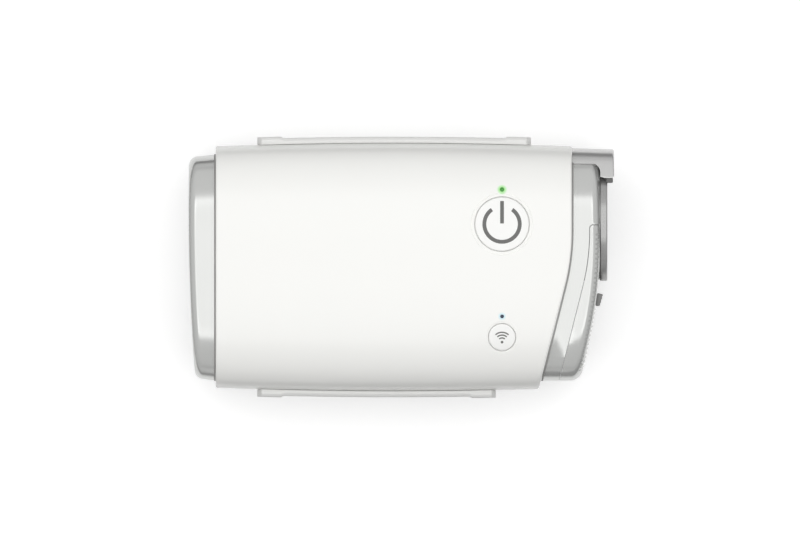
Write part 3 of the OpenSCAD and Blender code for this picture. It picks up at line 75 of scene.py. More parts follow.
casing = {
    "left": topLow.x,
    "seam": topHigh.x,
    "middle": (topLow.x + topHigh.x) / 2,
    "halfLength": (topHigh.x - topLow.x) / 2,
    "halfWidth": (topHigh.y - topLow.y) / 2,
    "halfHeight": (topHigh.z - bottomLow.z) / 2,
    "midZ": (topHigh.z + bottomLow.z) / 2,
    "power": 2.9,  # 2 would be an ellipse
    "narrowEnds": 1.15,
    "lowEnds": 0.7,
    "wall": 1.5,
    "lip": 2.2,
    "lipLength": 2.0,
    "edgeRound": 0.6,
    "partingGroove": 0.22,
    "cutY": 11.5,
    "cutRadius": 73,
    "cutAngle": 14.1,
    "step": 2.5,  # degrees along the section
    "partingEdge": 0.35,  # degrees beside the parting line
    "stations": 44,
}

cap = {
    "front": capLow.x,
    "gap": 0.25,
    "shift": -0.2,
    "wall": 1.8,
    "spigot": 4.2,
    "edgeRound": 2.8,
    "taper": 0.5,
    "domeRadius": 680,
    "domeY": 18,
    "edgeSteps": 14,
    "neck": (1, 0.07),  # last step before the joint: how far out, and its inset
    "inletRoom": 0.1,
    "inletEdge": 0.25,
}

outletEnd = {
    "face": frameHigh.x,
    "faceY": 8,
    "faceRadius": 138,
    "faceAngle": 11.5,
    "edgeRound": 3.2,
    "edgeSteps": 12,
    "rearY": 33.1,
    "cornerRound": 2.9,
    "band": 5.6,
    "coverY": 13.6,
    "coverRound": 1.2,
    "coverGap": 0.2,
    "edgeBreak": 0.14,
    "hoodSeal": 0.32,
    "shadeStripDrop": 0.05,
    "shadeStripDepth": 1.2,
    "coverSealDrop": 0.25,
    "coverSealDepth": 2.0,
}

outletAxis = Vector((0, (ringLow.y + ringHigh.y) / 2, (ringLow.z + ringHigh.z) / 2))


def fall(y, start, radius, angle):
    # how far a plan curve has fallen back at y: straight, then an arc, then a slope
    turn = math.radians(angle)
    drop, arc = start - y, radius * math.sin(turn)
    if drop <= 0:
        return 0
    if drop <= arc:
        return radius - math.sqrt(radius ** 2 - drop ** 2)
    return radius * (1 - math.cos(turn)) + (drop - arc) * math.tan(turn)


def cutX(y):
    return casing["seam"] - fall(y, casing["cutY"], casing["cutRadius"], casing["cutAngle"])


def faceX(y):
    end = outletEnd
    return end["face"] - fall(y, end["faceY"], end["faceRadius"], end["faceAngle"])


def coverX(y):
    return cutX(y) + outletEnd["band"]


def capX(y):
    return cap["front"] + (y - cap["domeY"]) ** 2 / (2 * cap["domeRadius"])


def barrel(x):
    return ((x - casing["middle"]) / casing["halfLength"]) ** 2


def halfWidthAt(x):
    return casing["halfWidth"] - casing["narrowEnds"] * barrel(x)


def halfHeightAt(x):
    return casing["halfHeight"] - casing["lowEnds"] * barrel(x)


def sectionPoint(degrees):
    # the unit section in one direction, from +Y towards +Z
    c, s = math.cos(math.radians(degrees)), math.sin(math.radians(degrees))
    reach = (abs(c) ** casing["power"] + abs(s) ** casing["power"]) ** (1 / casing["power"])
    return c / reach, s / reach


def curveLeft(share):
    return (1 - min(abs(share), 1) ** casing["power"]) ** (1 / casing["power"])


def topZ(x, y):
    return casing["midZ"] + halfHeightAt(x) * curveLeft(y / halfWidthAt(x))


lipRamp = casing["lip"] - casing["wall"]
capTrap = lipRamp - cap["gap"] / 2
capHalfWidth = halfWidthAt(casing["left"]) - casing["lip"] - cap["gap"]
capHalfHeight = halfHeightAt(casing["left"]) - casing["lip"] - cap["gap"]


# Mesh helpers


def meshPiece(name, points, faces, edges=()):
    # points in mm; doubles are merged and the faces turned outwards
    mesh = bpy.data.meshes.new(name)
    mesh.from_pydata([(x * mm, y * mm, z * mm) for x, y, z in points], edges, faces)
    if faces:
        work = bmesh.new()
        work.from_mesh(mesh)
        bmesh.ops.remove_doubles(work, verts=work.verts, dist=1e-6)
        bmesh.ops.delete(work, geom=[e for e in work.edges if not e.link_faces], context="EDGES")
        bmesh.ops.recalc_face_normals(work, faces=work.faces)
        work.to_mesh(mesh)
        work.free()
    piece = bpy.data.objects.new(name, mesh)
    bpy.context.scene.collection.objects.link(piece)
    return piece


def loft(name, rings, skipped=0):
    # skin over rings of equal count; each end is closed by strips across its line of symmetry
    count, last = len(rings[0]), len(rings) - 1
    faces = []
    for k in range(last):
        for i in range(count):
            j = (i + 1) % count
            faces.append((k * count + i, k * count + j, (k + 1) * count + j, (k + 1) * count + i))
    for start, flip in ((0, True), (last * count, False)):
        for i in range(count // 2 - skipped):
            j = i + 1
            p, q = (count - skipped - i) % count, (count - skipped - j) % count
            strip = [start + v for v in dict.fromkeys((i, j, q, p))]
            if len(strip) > 2:
                faces.append(strip[::-1] if flip else strip)
    return meshPiece(name, [p for ring in rings for p in ring], faces)


def turned(name, profile, place, count=96):
    # closed solid of revolution: place turns a point of the profile and an angle into a point in space
    size = len(profile)
    points = [place(p, 2 * math.pi * k / count) for k in range(count) for p in profile]
    faces = []
    for k in range(count):
        a, b = k * size, ((k + 1) % count) * size
        faces += [(a + i, a + (i + 1) % size, b + (i + 1) % size, b + i) for i in range(size)]
    return meshPiece(name, points, faces)


def upright(x, y):
    # place for turned(): (radius, height) about a vertical axis
    return lambda p, angle: (x + p[0] * math.cos(angle), y + p[0] * math.sin(angle), p[1])


def underSkin(x, y):
    # place for turned(): (radius, depth under the casing's surface, fixed height or None)
    def place(p, angle):
        px, py = x + p[0] * math.cos(angle), y + p[0] * math.sin(angle)
        return (px, py, topZ(px, py) - p[1] if p[2] is None else p[2])
    return place


def alongX(y, z):
    # place for turned(): (radius, x) about an axis along X
    return lambda p, angle: (p[1], y + p[0] * math.cos(angle), z + p[0] * math.sin(angle))


def prism(name, outline, low, high):
    count = len(outline)
    points = [(x, y, low) for x, y in outline] + [(x, y, high) for x, y in outline]
    faces = [tuple(range(count))[::-1], tuple(range(count, 2 * count))]
    faces += [(i, (i + 1) % count, count + (i + 1) % count, count + i) for i in range(count)]
    return meshPiece(name, points, faces)


def brick(name, low, high):
    corners = [(low[0], low[1]), (high[0], low[1]), (high[0], high[1]), (low[0], high[1])]
    return prism(name, corners, low[2], high[2])


def post(name, x, y, low, high, radius, count=64):
    return turned(name, [(0, low), (radius, low), (radius, high), (0, high)], upright(x, y), count)


def outletPost(name, low, high, radius):
    profile = [(0, low), (radius, low), (radius, high), (0, high)]
    return turned(name, profile, alongX(outletAxis.y, outletAxis.z), 128)


def roundSteps(radius, count):
    # quarter round as (depth from the face, inset)
    turns = [math.radians(90 * (1 - k / count)) for k in range(count + 1)]
    return [(radius * (1 - math.sin(t)), radius * (1 - math.cos(t))) for t in turns]


def arcPoints(centre, radius, start, end, count=12):
    turns = [math.radians(start + (end - start) * k / count) for k in range(count + 1)]
    return [(centre[0] + radius * math.cos(t), centre[1] + radius * math.sin(t)) for t in turns]


def bake(piece):
    # the modifiers' result becomes the piece's plain mesh
    graph = bpy.context.evaluated_depsgraph_get()
    mesh = bpy.data.meshes.new_from_object(piece.evaluated_get(graph))
    old = piece.data
    piece.modifiers.clear()
    piece.data = mesh
    bpy.data.meshes.remove(old)
    return piece


def discard(piece):
    mesh = piece.data
    bpy.data.objects.remove(piece)
    bpy.data.meshes.remove(mesh)


def carve(piece, cutter, operation="DIFFERENCE"):
    modifier = piece.modifiers.new("carve", "BOOLEAN")
    modifier.operation = operation
    modifier.solver = "EXACT"
    modifier.object = cutter
    bake(piece)
    discard(cutter)
    return piece


def bevel(piece, width, segments=2, angle=40):
    modifier = piece.modifiers.new("bevel", "BEVEL")
    modifier.width = width * mm
    modifier.segments = segments
    modifier.limit_method = "ANGLE"
    modifier.angle_limit = math.radians(angle)
    modifier.use_clamp_overlap = True
    return bake(piece)


def smooth(piece, angle=32):
    piece.data.shade_smooth()
    piece.data.set_sharp_from_angle(angle=math.radians(angle))
    return piece


def join(pieces, name):
    work = bmesh.new()
    for piece in pieces:
        work.from_mesh(piece.data)
    for piece in pieces:
        discard(piece)
    mesh = bpy.data.meshes.new(name)
    work.to_mesh(mesh)
    work.free()
    piece = bpy.data.objects.new(name, mesh)
    bpy.context.scene.collection.objects.link(piece)
    return piece


def mirrored(piece, axis):
    # turned over in the casing's middle plane (axis 2) or the machine's own (axis 1)
    plane = 2 * casing["midZ"] * mm if axis == 2 else 0
    work = bmesh.new()
    work.from_mesh(piece.data)
    for vertex in work.verts:
        vertex.co[axis] = plane - vertex.co[axis]
    bmesh.ops.reverse_faces(work, faces=work.faces)
    work.to_mesh(piece.data)
    work.free()
    return piece


def dress(piece, material, body, nodes=()):
    piece.data.materials.clear()
    piece.data.materials.append(material)
    for polygon in piece.data.polygons:
        polygon.material_index = 0
    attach(piece, body)
    if nodes:
        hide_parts(*nodes)
    return piece


# Finishes


def linear(code):
    # sRGB hex to linear RGBA
    parts = [int(code[i:i + 2], 16) / 255 for i in (1, 3, 5)]
    return tuple(p / 12.92 if p <= 0.04045 else ((p + 0.055) / 1.055) ** 2.4 for p in parts) + (1,)


def addNode(tree, kind, settings=None, links=None):
    node = tree.nodes.new(kind)
    for key, value in (settings or {}).items():
        if isinstance(key, int) or key in node.inputs:
            node.inputs[key].default_value = value
        else:
            setattr(node, key, value)
    for socket, source in (links or {}).items():
        tree.links.new(source, node.inputs[socket])
    return node


def surface(name, look):
    # one finish: two close colours in a slow cloud, a grain in the bump,
    # and a little spread in the roughness
    material = bpy.data.materials.new(name)
    material.use_nodes = True
    tree = material.node_tree
    shader = tree.nodes["Principled BSDF"]
    place = addNode(tree, "ShaderNodeTexCoord")
    cloud = addNode(tree, "ShaderNodeTexNoise",
                    {"Scale": 1 / (look["cloud"] * mm), "Detail": 3.0, "Roughness": 0.55},
                    {"Vector": place.outputs["Object"]})
    tint = addNode(tree, "ShaderNodeMix",
                   {"data_type": "RGBA", 6: linear(look["colour"]), 7: linear(look["shade"])},
                   {0: cloud.outputs["Fac"]})
    tree.links.new(tint.outputs[2], shader.inputs["Base Color"])
    grain = addNode(tree, "ShaderNodeTexNoise",
                    {"Scale": 1 / (look["grain"] * mm), "Detail": 4.0, "Roughness": 0.6},
                    {"Vector": place.outputs["Object"]})
    least, most = look["roughness"] - look["spread"], look["roughness"] + look["spread"]
    spread = addNode(tree, "ShaderNodeMapRange", {"To Min": least, "To Max": most},
                     {"Value": grain.outputs["Fac"]})
    tree.links.new(spread.outputs["Result"], shader.inputs["Roughness"])
    bump = addNode(tree, "ShaderNodeBump",
                   {"Strength": look["bump"], "Distance": look["grain"] * mm * 0.5},
                   {"Height": grain.outputs["Fac"]})
    tree.links.new(bump.outputs["Normal"], shader.inputs["Normal"])
    for key, value in look.get("shader", {}).items():
        shader.inputs[key].default_value = value
    return material


def paintLampGlow(material, glows):
    # painted light: a lamp's light in the white plastic around it, painted into the colour as a tint
    # close to the lamp's middle
    tree = material.node_tree
    shader = tree.nodes["Principled BSDF"]
    colour = shader.inputs["Base Color"].links[0].from_socket
    place = addNode(tree, "ShaderNodeTexCoord")
    for glow in glows:
        gap = addNode(tree, "ShaderNodeVectorMath",
                      {"operation": "DISTANCE", 1: tuple(c * mm for c in glow["at"])},
                      {0: place.outputs["Object"]})
        fade = addNode(tree, "ShaderNodeMapRange",
                       {"interpolation_type": "SMOOTHSTEP", "From Min": glow["inner"] * mm,
                        "From Max": glow["outer"] * mm, "To Min": 1.0, "To Max": 0.0},
                       {"Value": gap.outputs["Value"]})
        mix = addNode(tree, "ShaderNodeMix",
                      {"data_type": "RGBA", "blend_type": "MULTIPLY", 7: linear(glow["tint"])},
                      {0: fade.outputs["Result"], 6: colour})
        colour = mix.outputs[2]
    tree.links.new(colour, shader.inputs["Base Color"])
    return material


whiteLook = {
    "colour": "#F6F6F3", "shade": "#F4F4F1", "cloud": 30, "grain": 0.25, "bump": 0.03,
    "roughness": 0.24, "spread": 0.02, "shader": {"IOR": 1.5},
}
# injection-moulded ABS from a polished tool: a clean soft-gloss white with hardly any grain
absWhite = surface("mouldedAbsWhite", whiteLook)
# the same plastic on the buttons' caps, drawn a shade brighter
buttonWhite = surface("buttonAbsWhite", {**whiteLook, "colour": "#F6F6F4", "shade": "#F4F4F2"})
# the same plastic again on the top cover, with the lamps' light painted into its colour round each lamp
topWhite = surface("mouldedAbsTop", whiteLook)

# ABS under fine silver paint: metal flake in a clear coat, bright and a little grainy
silverPaint = surface("silverPaintedAbs", {
    "colour": "#C5C6C4", "shade": "#C1C2C0", "cloud": 12, "grain": 0.1, "bump": 0.05,
    "roughness": 0.2, "spread": 0.03, "shader": {"Metallic": 0.7, "IOR": 1.5},
})
# satin silver-grey moulding of the hood
greyHood = surface("satinGreyHood", {
    "colour": "#CBCBCA", "shade": "#C6C6C5", "cloud": 15, "grain": 0.12, "bump": 0.05,
    "roughness": 0.24, "spread": 0.03, "shader": {"Metallic": 0.66, "IOR": 1.5},
})
# dark grey glass-filled nylon under a thin metallic coat, on the outlet's ring
outletGrey = surface("darkGreyCoatedNylon", {
    "colour": "#A2A2A1", "shade": "#999998", "cloud": 8, "grain": 0.15, "bump": 0.08,
    "roughness": 0.28, "spread": 0.04, "shader": {"Metallic": 0.7, "IOR": 1.5},
})
# black silicone, dull
sealRubber = surface("blackSilicone", {
    "colour": "#1E1E1E", "shade": "#262626", "cloud": 4, "grain": 0.2, "bump": 0.15,
    "roughness": 0.55, "spread": 0.06,
})
# painted shade: grey strips in the casing's joints and under the hood, standing for the shadows in
# those gaps
jointShadeGrey = surface("greyJointShadeStrip", {
    "colour": "#A5A5A3", "shade": "#9F9F9D", "cloud": 4, "grain": 0.15, "bump": 0.1,
    "roughness": 0.55, "spread": 0.05,
})
# grey ABS of the finger tab, spark-eroded
tabGrey = surface("greyTabAbs", {
    "colour": "#8C8C8B", "shade": "#838382", "cloud": 3, "grain": 0.15, "bump": 0.12,
    "roughness": 0.4, "spread": 0.05,
})
# darker acetal of the hood's latch
latchGrey = surface("darkLatchAcetal", {
    "colour": "#5C5C5B", "shade": "#545453", "cloud": 2, "grain": 0.12, "bump": 0.08,
    "roughness": 0.35, "spread": 0.04,
})
# soft-touch overmould on the rails: pale grey, dull
railSoft = surface("softTouchRail", {
    "colour": "#EBEBE9", "shade": "#E7E7E5", "cloud": 10, "grain": 0.15, "bump": 0.1,
    "roughness": 0.45, "spread": 0.05,
})
# grey thermoplastic rubber of the feet
footRubber = surface("greyFootRubber", {
    "colour": "#6B6B6A", "shade": "#626261", "cloud": 5, "grain": 0.3, "bump": 0.25,
    "roughness": 0.75, "spread": 0.08,
})
# pad-printed ink of the two symbols
printedInk = surface("padPrintedGreyInk", {
    "colour": "#666664", "shade": "#61615F", "cloud": 2, "grain": 0.1, "bump": 0.05,
    "roughness": 0.4, "spread": 0.04,
})
# dyed polycarbonate of the start lamp's light pipe
lampGreen = surface("greenLightPipe", {
    "colour": "#38902F", "shade": "#2F7F29", "cloud": 1, "grain": 0.2, "bump": 0.02,
    "roughness": 0.15, "spread": 0.02,
    "shader": {"IOR": 1.58, "Emission Color": linear("#2FA52A"), "Emission Strength": 0.12},
})
# dyed polycarbonate of the wireless lamp's light pipe
lampBlue = surface("blueLightPipe", {
    "colour": "#101A3A", "shade": "#0C1430", "cloud": 1, "grain": 0.2, "bump": 0.02,
    "roughness": 0.15, "spread": 0.02,
    "shader": {"IOR": 1.58, "Emission Color": linear("#16307A"), "Emission Strength": 0.05},
})
# black glass-filled nylon
blackNylon = surface("blackGlassFilledNylon", {
    "colour": "#1B1B1C", "shade": "#222223", "cloud": 5, "grain": 0.2, "bump": 0.12,
    "roughness": 0.42, "spread": 0.05,
})
# gold-flashed brass of the contacts
contactBrass = surface("goldFlashedBrass", {
    "colour": "#D9B65C", "shade": "#CFA94C", "cloud": 3, "grain": 0.08, "bump": 0.05,
    "roughness": 0.24, "spread": 0.04, "shader": {"Metallic": 1.0},
})
# pressed aluminium sheet of the chassis
chassisAlloy = surface("pressedAluminium", {
    "colour": "#B9BBBC", "shade": "#AEB0B1", "cloud": 18, "grain": 0.3, "bump": 0.1,
    "roughness": 0.36, "spread": 0.07, "shader": {"Metallic": 1.0},
})
# turned aluminium of the motor can
canAlloy = surface("turnedAluminiumCan", {
    "colour": "#C4C6C8", "shade": "#BABCBE", "cloud": 9, "grain": 0.2, "bump": 0.08,
    "roughness": 0.28, "spread": 0.05, "shader": {"Metallic": 1.0},
})
# zinc-plated screw steel
screwSteel = surface("zincPlatedSteel", {
    "colour": "#C3C4C1", "shade": "#B2B4B0", "cloud": 2, "grain": 0.1, "bump": 0.08,
    "roughness": 0.27, "spread": 0.06, "shader": {"Metallic": 1.0},
})
# ground steel of the shaft and the bearings
groundSteel = surface("groundSteel", {
    "colour": "#CBCDCF", "shade": "#C2C4C6", "cloud": 6, "grain": 0.06, "bump": 0.04,
    "roughness": 0.18, "spread": 0.03, "shader": {"Metallic": 1.0},
})
# nickel-plated ring magnet
magnetGrey = surface("nickelPlatedMagnet", {
    "colour": "#8F9092", "shade": "#858688", "cloud": 5, "grain": 0.12, "bump": 0.06,
    "roughness": 0.25, "spread": 0.04, "shader": {"Metallic": 1.0},
})
# stamped electrical steel of the stator
coreSteel = surface("stampedCoreSteel", {
    "colour": "#8B8D8F", "shade": "#7C7E80", "cloud": 4, "grain": 0.35, "bump": 0.18,
    "roughness": 0.42, "spread": 0.08, "shader": {"Metallic": 0.9},
})
# enamelled copper winding wire
copperWire = surface("enamelledCopper", {
    "colour": "#B5652C", "shade": "#A4561F", "cloud": 3, "grain": 0.2, "bump": 0.1,
    "roughness": 0.25, "spread": 0.05, "shader": {"Metallic": 0.85},
})
# translucent grey silicone of the mounts, gaskets and the outlet duct
mountSilicone = surface("greySilicone", {
    "colour": "#7C8288", "shade": "#72787E", "cloud": 4, "grain": 0.25, "bump": 0.1,
    "roughness": 0.5, "spread": 0.05, "shader": {"Subsurface Weight": 0.1},
})
ductSilicone = surface("paleDuctSilicone", {
    "colour": "#D5D8DA", "shade": "#CCD0D3", "cloud": 8, "grain": 0.3, "bump": 0.1,
    "roughness": 0.45, "spread": 0.05, "shader": {"Subsurface Weight": 0.15},
})
# ivory PBT of the blower's housing and impeller
blowerWhite = surface("ivoryBlowerPbt", {
    "colour": "#EAE8E1", "shade": "#E3E1D9", "cloud": 10, "grain": 0.2, "bump": 0.06,
    "roughness": 0.35, "spread": 0.04,
})
# open-cell grey acoustic foam
foamGrey = surface("acousticFoam", {
    "colour": "#4A4B4D", "shade": "#343537", "cloud": 0.8, "grain": 0.6, "bump": 0.9,
    "roughness": 0.9, "spread": 0.05,
})
# white polyester felt of the filter pad
filterFelt = surface("filterFelt", {
    "colour": "#F0F0EE", "shade": "#DEDEDB", "cloud": 0.7, "grain": 0.3, "bump": 0.7,
    "roughness": 0.9, "spread": 0.05, "shader": {"Sheen Weight": 0.3},
})
# green solder mask
boardGreen = surface("greenSolderMask", {
    "colour": "#1E5B34", "shade": "#17502C", "cloud": 1.6, "grain": 0.4, "bump": 0.06,
    "roughness": 0.3, "spread": 0.05,
})
# moulded epoxy of the chips
chipBlack = surface("mouldedEpoxy", {
    "colour": "#232324", "shade": "#2B2B2C", "cloud": 1.5, "grain": 0.12, "bump": 0.15,
    "roughness": 0.5, "spread": 0.06,
})
# lacquered aluminium of the capacitors' cans
capacitorCan = surface("lacqueredCan", {
    "colour": "#55607A", "shade": "#4C5670", "cloud": 2, "grain": 0.2, "bump": 0.05,
    "roughness": 0.3, "spread": 0.04, "shader": {"Metallic": 0.4},
})
# tinned steel of the shields
moduleShield = surface("tinnedShield", {
    "colour": "#C9CBCC", "shade": "#BEC0C2", "cloud": 4, "grain": 0.2, "bump": 0.06,
    "roughness": 0.3, "spread": 0.05, "shader": {"Metallic": 1.0},
})
# ivory nylon of the connectors
connectorIvory = surface("ivoryNylon", {
    "colour": "#E9E3CE", "shade": "#E1DAC3", "cloud": 3, "grain": 0.2, "bump": 0.08,
    "roughness": 0.4, "spread": 0.05,
})
# cast epoxy of the lamp chips
lampChip = surface("lampEpoxy", {
    "colour": "#E8DFA8", "shade": "#E0D598", "cloud": 0.6, "grain": 0.1, "bump": 0.05,
    "roughness": 0.25, "spread": 0.04,
})
# PVC of the two cables' jackets
cableRed = surface("redCableJacket", {
    "colour": "#A8262A", "shade": "#9A2024", "cloud": 3, "grain": 0.2, "bump": 0.08,
    "roughness": 0.4, "spread": 0.05,
})
cableBlack = surface("blackCableJacket", {
    "colour": "#1C1C1D", "shade": "#242425", "cloud": 3, "grain": 0.2, "bump": 0.08,
    "roughness": 0.4, "spread": 0.05,
})

finishOf = {
    "white_shell": absWhite, "silver_paint": silverPaint, "grey_hood": greyHood,
    "outlet_grey": outletGrey, "seal_rubber": sealRubber, "tab_grey": tabGrey,
    "filter_felt": filterFelt, "rail_grey": railSoft, "foot_rubber": footRubber,
    "button_white": buttonWhite, "lamp_green": lampGreen, "lamp_blue": lampBlue,
    "black_plastic": blackNylon, "contact_brass": contactBrass, "chassis_alloy": chassisAlloy,
    "screw_steel": screwSteel, "mount_silicone": mountSilicone, "blower_white": blowerWhite,
    "shaft_steel": groundSteel, "magnet_grey": magnetGrey, "core_steel": coreSteel,
    "copper_wire": copperWire, "can_alloy": canAlloy, "bearing_steel": groundSteel,
    "duct_silicone": ductSilicone, "foam_grey": foamGrey, "board_green": boardGreen,
    "chip_black": chipBlack, "capacitor_can": capacitorCan, "module_shield": moduleShield,
    "connector_ivory": connectorIvory, "lamp_chip": lampChip, "cable_red": cableRed,
    "cable_black": cableBlack,
}
print("finishes ready")


# Geometry Nodes: copies of one small piece along a path


def pathTree():
    tree = bpy.data.node_groups.new("piecesAlongPath", "GeometryNodeTree")
    inputs = (("Path", "Geometry"), ("Unit", "Object"), ("Count", "Int"), ("Finish", "Material"))
    for label, kind in inputs:
        tree.interface.new_socket(label, in_out="INPUT", socket_type="NodeSocket" + kind)
    tree.interface.new_socket("Pieces", in_out="OUTPUT", socket_type="NodeSocketGeometry")
    given = addNode(tree, "NodeGroupInput")
    route = addNode(tree, "GeometryNodeMeshToCurve", None, {"Mesh": given.outputs["Path"]})
    even = addNode(tree, "GeometryNodeCurveToPoints", {"mode": "COUNT"},
                   {"Curve": route.outputs["Curve"], "Count": given.outputs["Count"]})
    turn = addNode(tree, "FunctionNodeAlignRotationToVector", {"axis": "Y", "pivot_axis": "Z"},
                   {"Vector": even.outputs["Tangent"]})
    unit = addNode(tree, "GeometryNodeObjectInfo", None, {"Object": given.outputs["Unit"]})
    copies = addNode(tree, "GeometryNodeInstanceOnPoints", None,
                     {"Points": even.outputs["Points"], "Instance": unit.outputs["Geometry"],
                      "Rotation": turn.outputs["Rotation"]})
    real = addNode(tree, "GeometryNodeRealizeInstances", None,
                   {"Geometry": copies.outputs["Instances"]})
    finish = addNode(tree, "GeometryNodeSetMaterial", None,
                     {"Geometry": real.outputs["Geometry"], "Material": given.outputs["Finish"]})
    result = addNode(tree, "NodeGroupOutput")
    tree.links.new(finish.outputs["Geometry"], result.inputs["Pieces"])
    return tree


alongPath = pathTree()


def repeat(name, unit, path, count, finish):
    # unit is made about the world's origin, its Y axis along the path; it is used up
    holder = meshPiece(name, path, [], [(i, i + 1) for i in range(len(path) - 1)])
    modifier = holder.modifiers.new("pieces", "NODES")
    modifier.node_group = alongPath
    sockets = {s.name: s.identifier for s in alongPath.interface.items_tree if s.in_out == "INPUT"}
    modifier[sockets["Unit"]] = unit
    modifier[sockets["Count"]] = count
    modifier[sockets["Finish"]] = finish
    bake(holder)
    discard(unit)
    return holder


# Casing


def casingPoint(share, shift, inset, degrees):
    across, up = sectionPoint(degrees)
    x = casing["left"] + share * (cutX(across * (casing["halfWidth"] - inset)) - casing["left"]) + shift
    return (x, across * (halfWidthAt(x) - inset), casing["midZ"] + up * (halfHeightAt(x) - inset))


def shellRing(share, shift, outer, inner):
    # outer arc with a small groove at the parting line, then the inner arc back
    step = casing["step"]
    turns = [step * k for k in range(int(180 / step) + 1)]
    edge, grooved = casing["partingEdge"], outer + casing["partingGroove"]
    row = [(grooved, 0)] + [(outer, a) for a in [edge] + turns[1:-1] + [180 - edge]] + [(grooved, 180)]
    row += [(inner, a) for a in [180, 180 - edge] + turns[-2:0:-1] + [edge, 0]]
    return [casingPoint(share, shift, inset, a) for inset, a in row]


def endSteps():
    # (distance from the end, outer inset, inner inset) of the rounded end and its thicker lip
    steps = [(depth, inset, casing["lip"]) for depth, inset in roundSteps(casing["edgeRound"], 5)]
    steps.append((casing["lipLength"], 0, casing["lip"]))
    return steps + [(casing["lipLength"] + lipRamp, 0, casing["wall"])]


def casingHalf(name):
    rings = [shellRing(0, *s) for s in endSteps()]
    count = casing["stations"]
    first = (casing["lipLength"] + 1.5) / (2 * casing["halfLength"])
    for k in range(count + 1):
        rings.append(shellRing(first + (1 - 2 * first) * k / count, 0, 0, casing["wall"]))
    rings += [shellRing(1, -s[0], s[1], s[2]) for s in reversed(endSteps())]
    return loft(name, rings, 1)


# the openings of the two buttons: a shallow dish with a fine groove, the line, near its edge
startHole = {
    "radius": 8.8, "round": 0.35, "dish": 9.95, "dishDepth": 0.1, "line": 0.16,
    "foot": 46.8, "sleeve": 1.2, "lampBore": 0.7,
}
wirelessHole = {
    "radius": 4.45, "round": 0.3, "dish": 5.1, "dishDepth": 0.06, "line": 0.02,
    "foot": 45.6, "sleeve": 1.2, "lampBore": 0.6,
}
lineAt = (0.34, 0.26, 0.08)  # where the groove starts, is deep and ends, from the dish's edge


def buttonSleeve(name, centre, hole):
    # the guide under a button's opening, with a rounded rim in a very shallow dish
    r, edge, dish, drop = hole["radius"], hole["round"], hole["dish"], hole["dishDepth"]
    outer, deep, wall = r + hole["sleeve"], hole["dishDepth"] + hole["line"], casing["wall"]
    turns = [math.radians(a) for a in (0, 18, 36, 54, 72, 90)]
    profile = [(r, 0, hole["foot"])]
    profile += [(r + edge * (1 - math.cos(t)), drop + edge * (1 - math.sin(t)), None) for t in turns]
    profile += [(dish - back, depth, None) for back, depth in zip(lineAt, (drop, deep, deep))]
    profile += [(dish, 0, None), (dish, wall, None), (outer, wall, None), (outer, 0, hole["foot"])]
    return turned(name, profile, underSkin(centre.x, centre.y), 128)


def lampBore(node, radius):
    middle = middleOf(node)
    return post("bore", middle.x, middle.y, middle.z - 5, middle.z + 15, radius, 40)


def buildTop():
    top = casingHalf("casingTop")
    for centre, hole in ((startMiddle, startHole), (wirelessMiddle, wirelessHole)):
        carve(top, post("opening", centre.x, centre.y, 40, 60, hole["dish"], 128))
    carve(top, lampBore("start_lamp", startHole["lampBore"]))
    carve(top, lampBore("wireless_lamp", wirelessHole["lampBore"]))
    sleeves = [buttonSleeve("startSleeve", startMiddle, startHole),
               buttonSleeve("wirelessSleeve", wirelessMiddle, wirelessHole)]
    top = smooth(join([top] + sleeves, "casingTop"))
    # painted light: the lamps' glow is tinted into the top cover's colour round each lamp
    paintLampGlow(topWhite, [
        {"at": lampTop("start_lamp"), "inner": 0.75, "outer": 1.9, "tint": "#B4F7A4"},
        {"at": lampTop("wireless_lamp"), "inner": 0.65, "outer": 1.5, "tint": "#D8F4FF"},
    ])
    dress(top, topWhite, "machine", ["top_cover"])


def lampTop(node):
    middle = middleOf(node)
    return (middle.x, middle.y, topZ(middle.x, middle.y))


feet = {
    "radius": 4.6,
    "edge": 0.5,
    "pocket": 4.3,
    "room": 0.1,
    "cupWall": 1.1,
    "cupRoof": 1.3,
    "cupStart": 0.8,  # how far inside the skin the cup's wall starts
    "grooves": (1.5, 2.9),
    "grooveWidth": 0.35,
    "grooveDepth": 0.3,
}
footPlaces = [(x, y) for x in (casing["left"] + 21.4, casing["seam"] - 20.6) for y in (-21, 21)]
casingScrews = {
    "places": [(casing["left"] + 9.4, 20), (casing["left"] + 9.4, -20),
               (casing["middle"] + 14.4, 28.5), (casing["middle"] + 14.4, -28.5)],
    "headZ": 10.6,
    "headHeight": 1.8,
    "headRadius": 2.7,
    "well": 3.0,
    "boss": 3.8,
    "bossStart": 1.0,
    "bossGap": 0.05,
    "shank": 1.4,
    "room": 0.1,
    "length": 24,
}


def buildBottom():
    bottom = mirrored(casingHalf("casingBottom"), 2)
    cups = []
    rim, top = feet["radius"] + feet["room"], feet["pocket"]
    wall, roof = rim + feet["cupWall"], top + feet["cupRoof"]
    for x, y in footPlaces:
        carve(bottom, post("pocket", x, y, -1, top, rim))
        start = bottomZ(x, y) + feet["cupStart"]
        profile = [(0, top), (rim, top), (rim, start), (wall, start), (wall, roof), (0, roof)]
        cups.append(turned("footCup", profile, upright(x, y), 64))
    s = casingScrews
    bore, head, top = s["shank"] + s["room"], s["headZ"], casing["midZ"] - s["bossGap"]
    for x, y in s["places"]:
        carve(bottom, post("well", x, y, -1, head, s["well"]))
        start = bottomZ(x, y) + s["bossStart"]
        profile = [(bore, head), (s["well"], head), (s["well"], start), (s["boss"], start),
                   (s["boss"], top), (bore, top)]
        cups.append(turned("screwBoss", profile, upright(x, y), 48))
    bottom = smooth(join([bottom] + cups, "casingBottom"))
    dress(bottom, absWhite, "machine", ["bottom_cover"])


def bottomZ(x, y):
    return 2 * casing["midZ"] - topZ(x, y)


buildTop()
buildBottom()
print("casing built")


# Left end cap


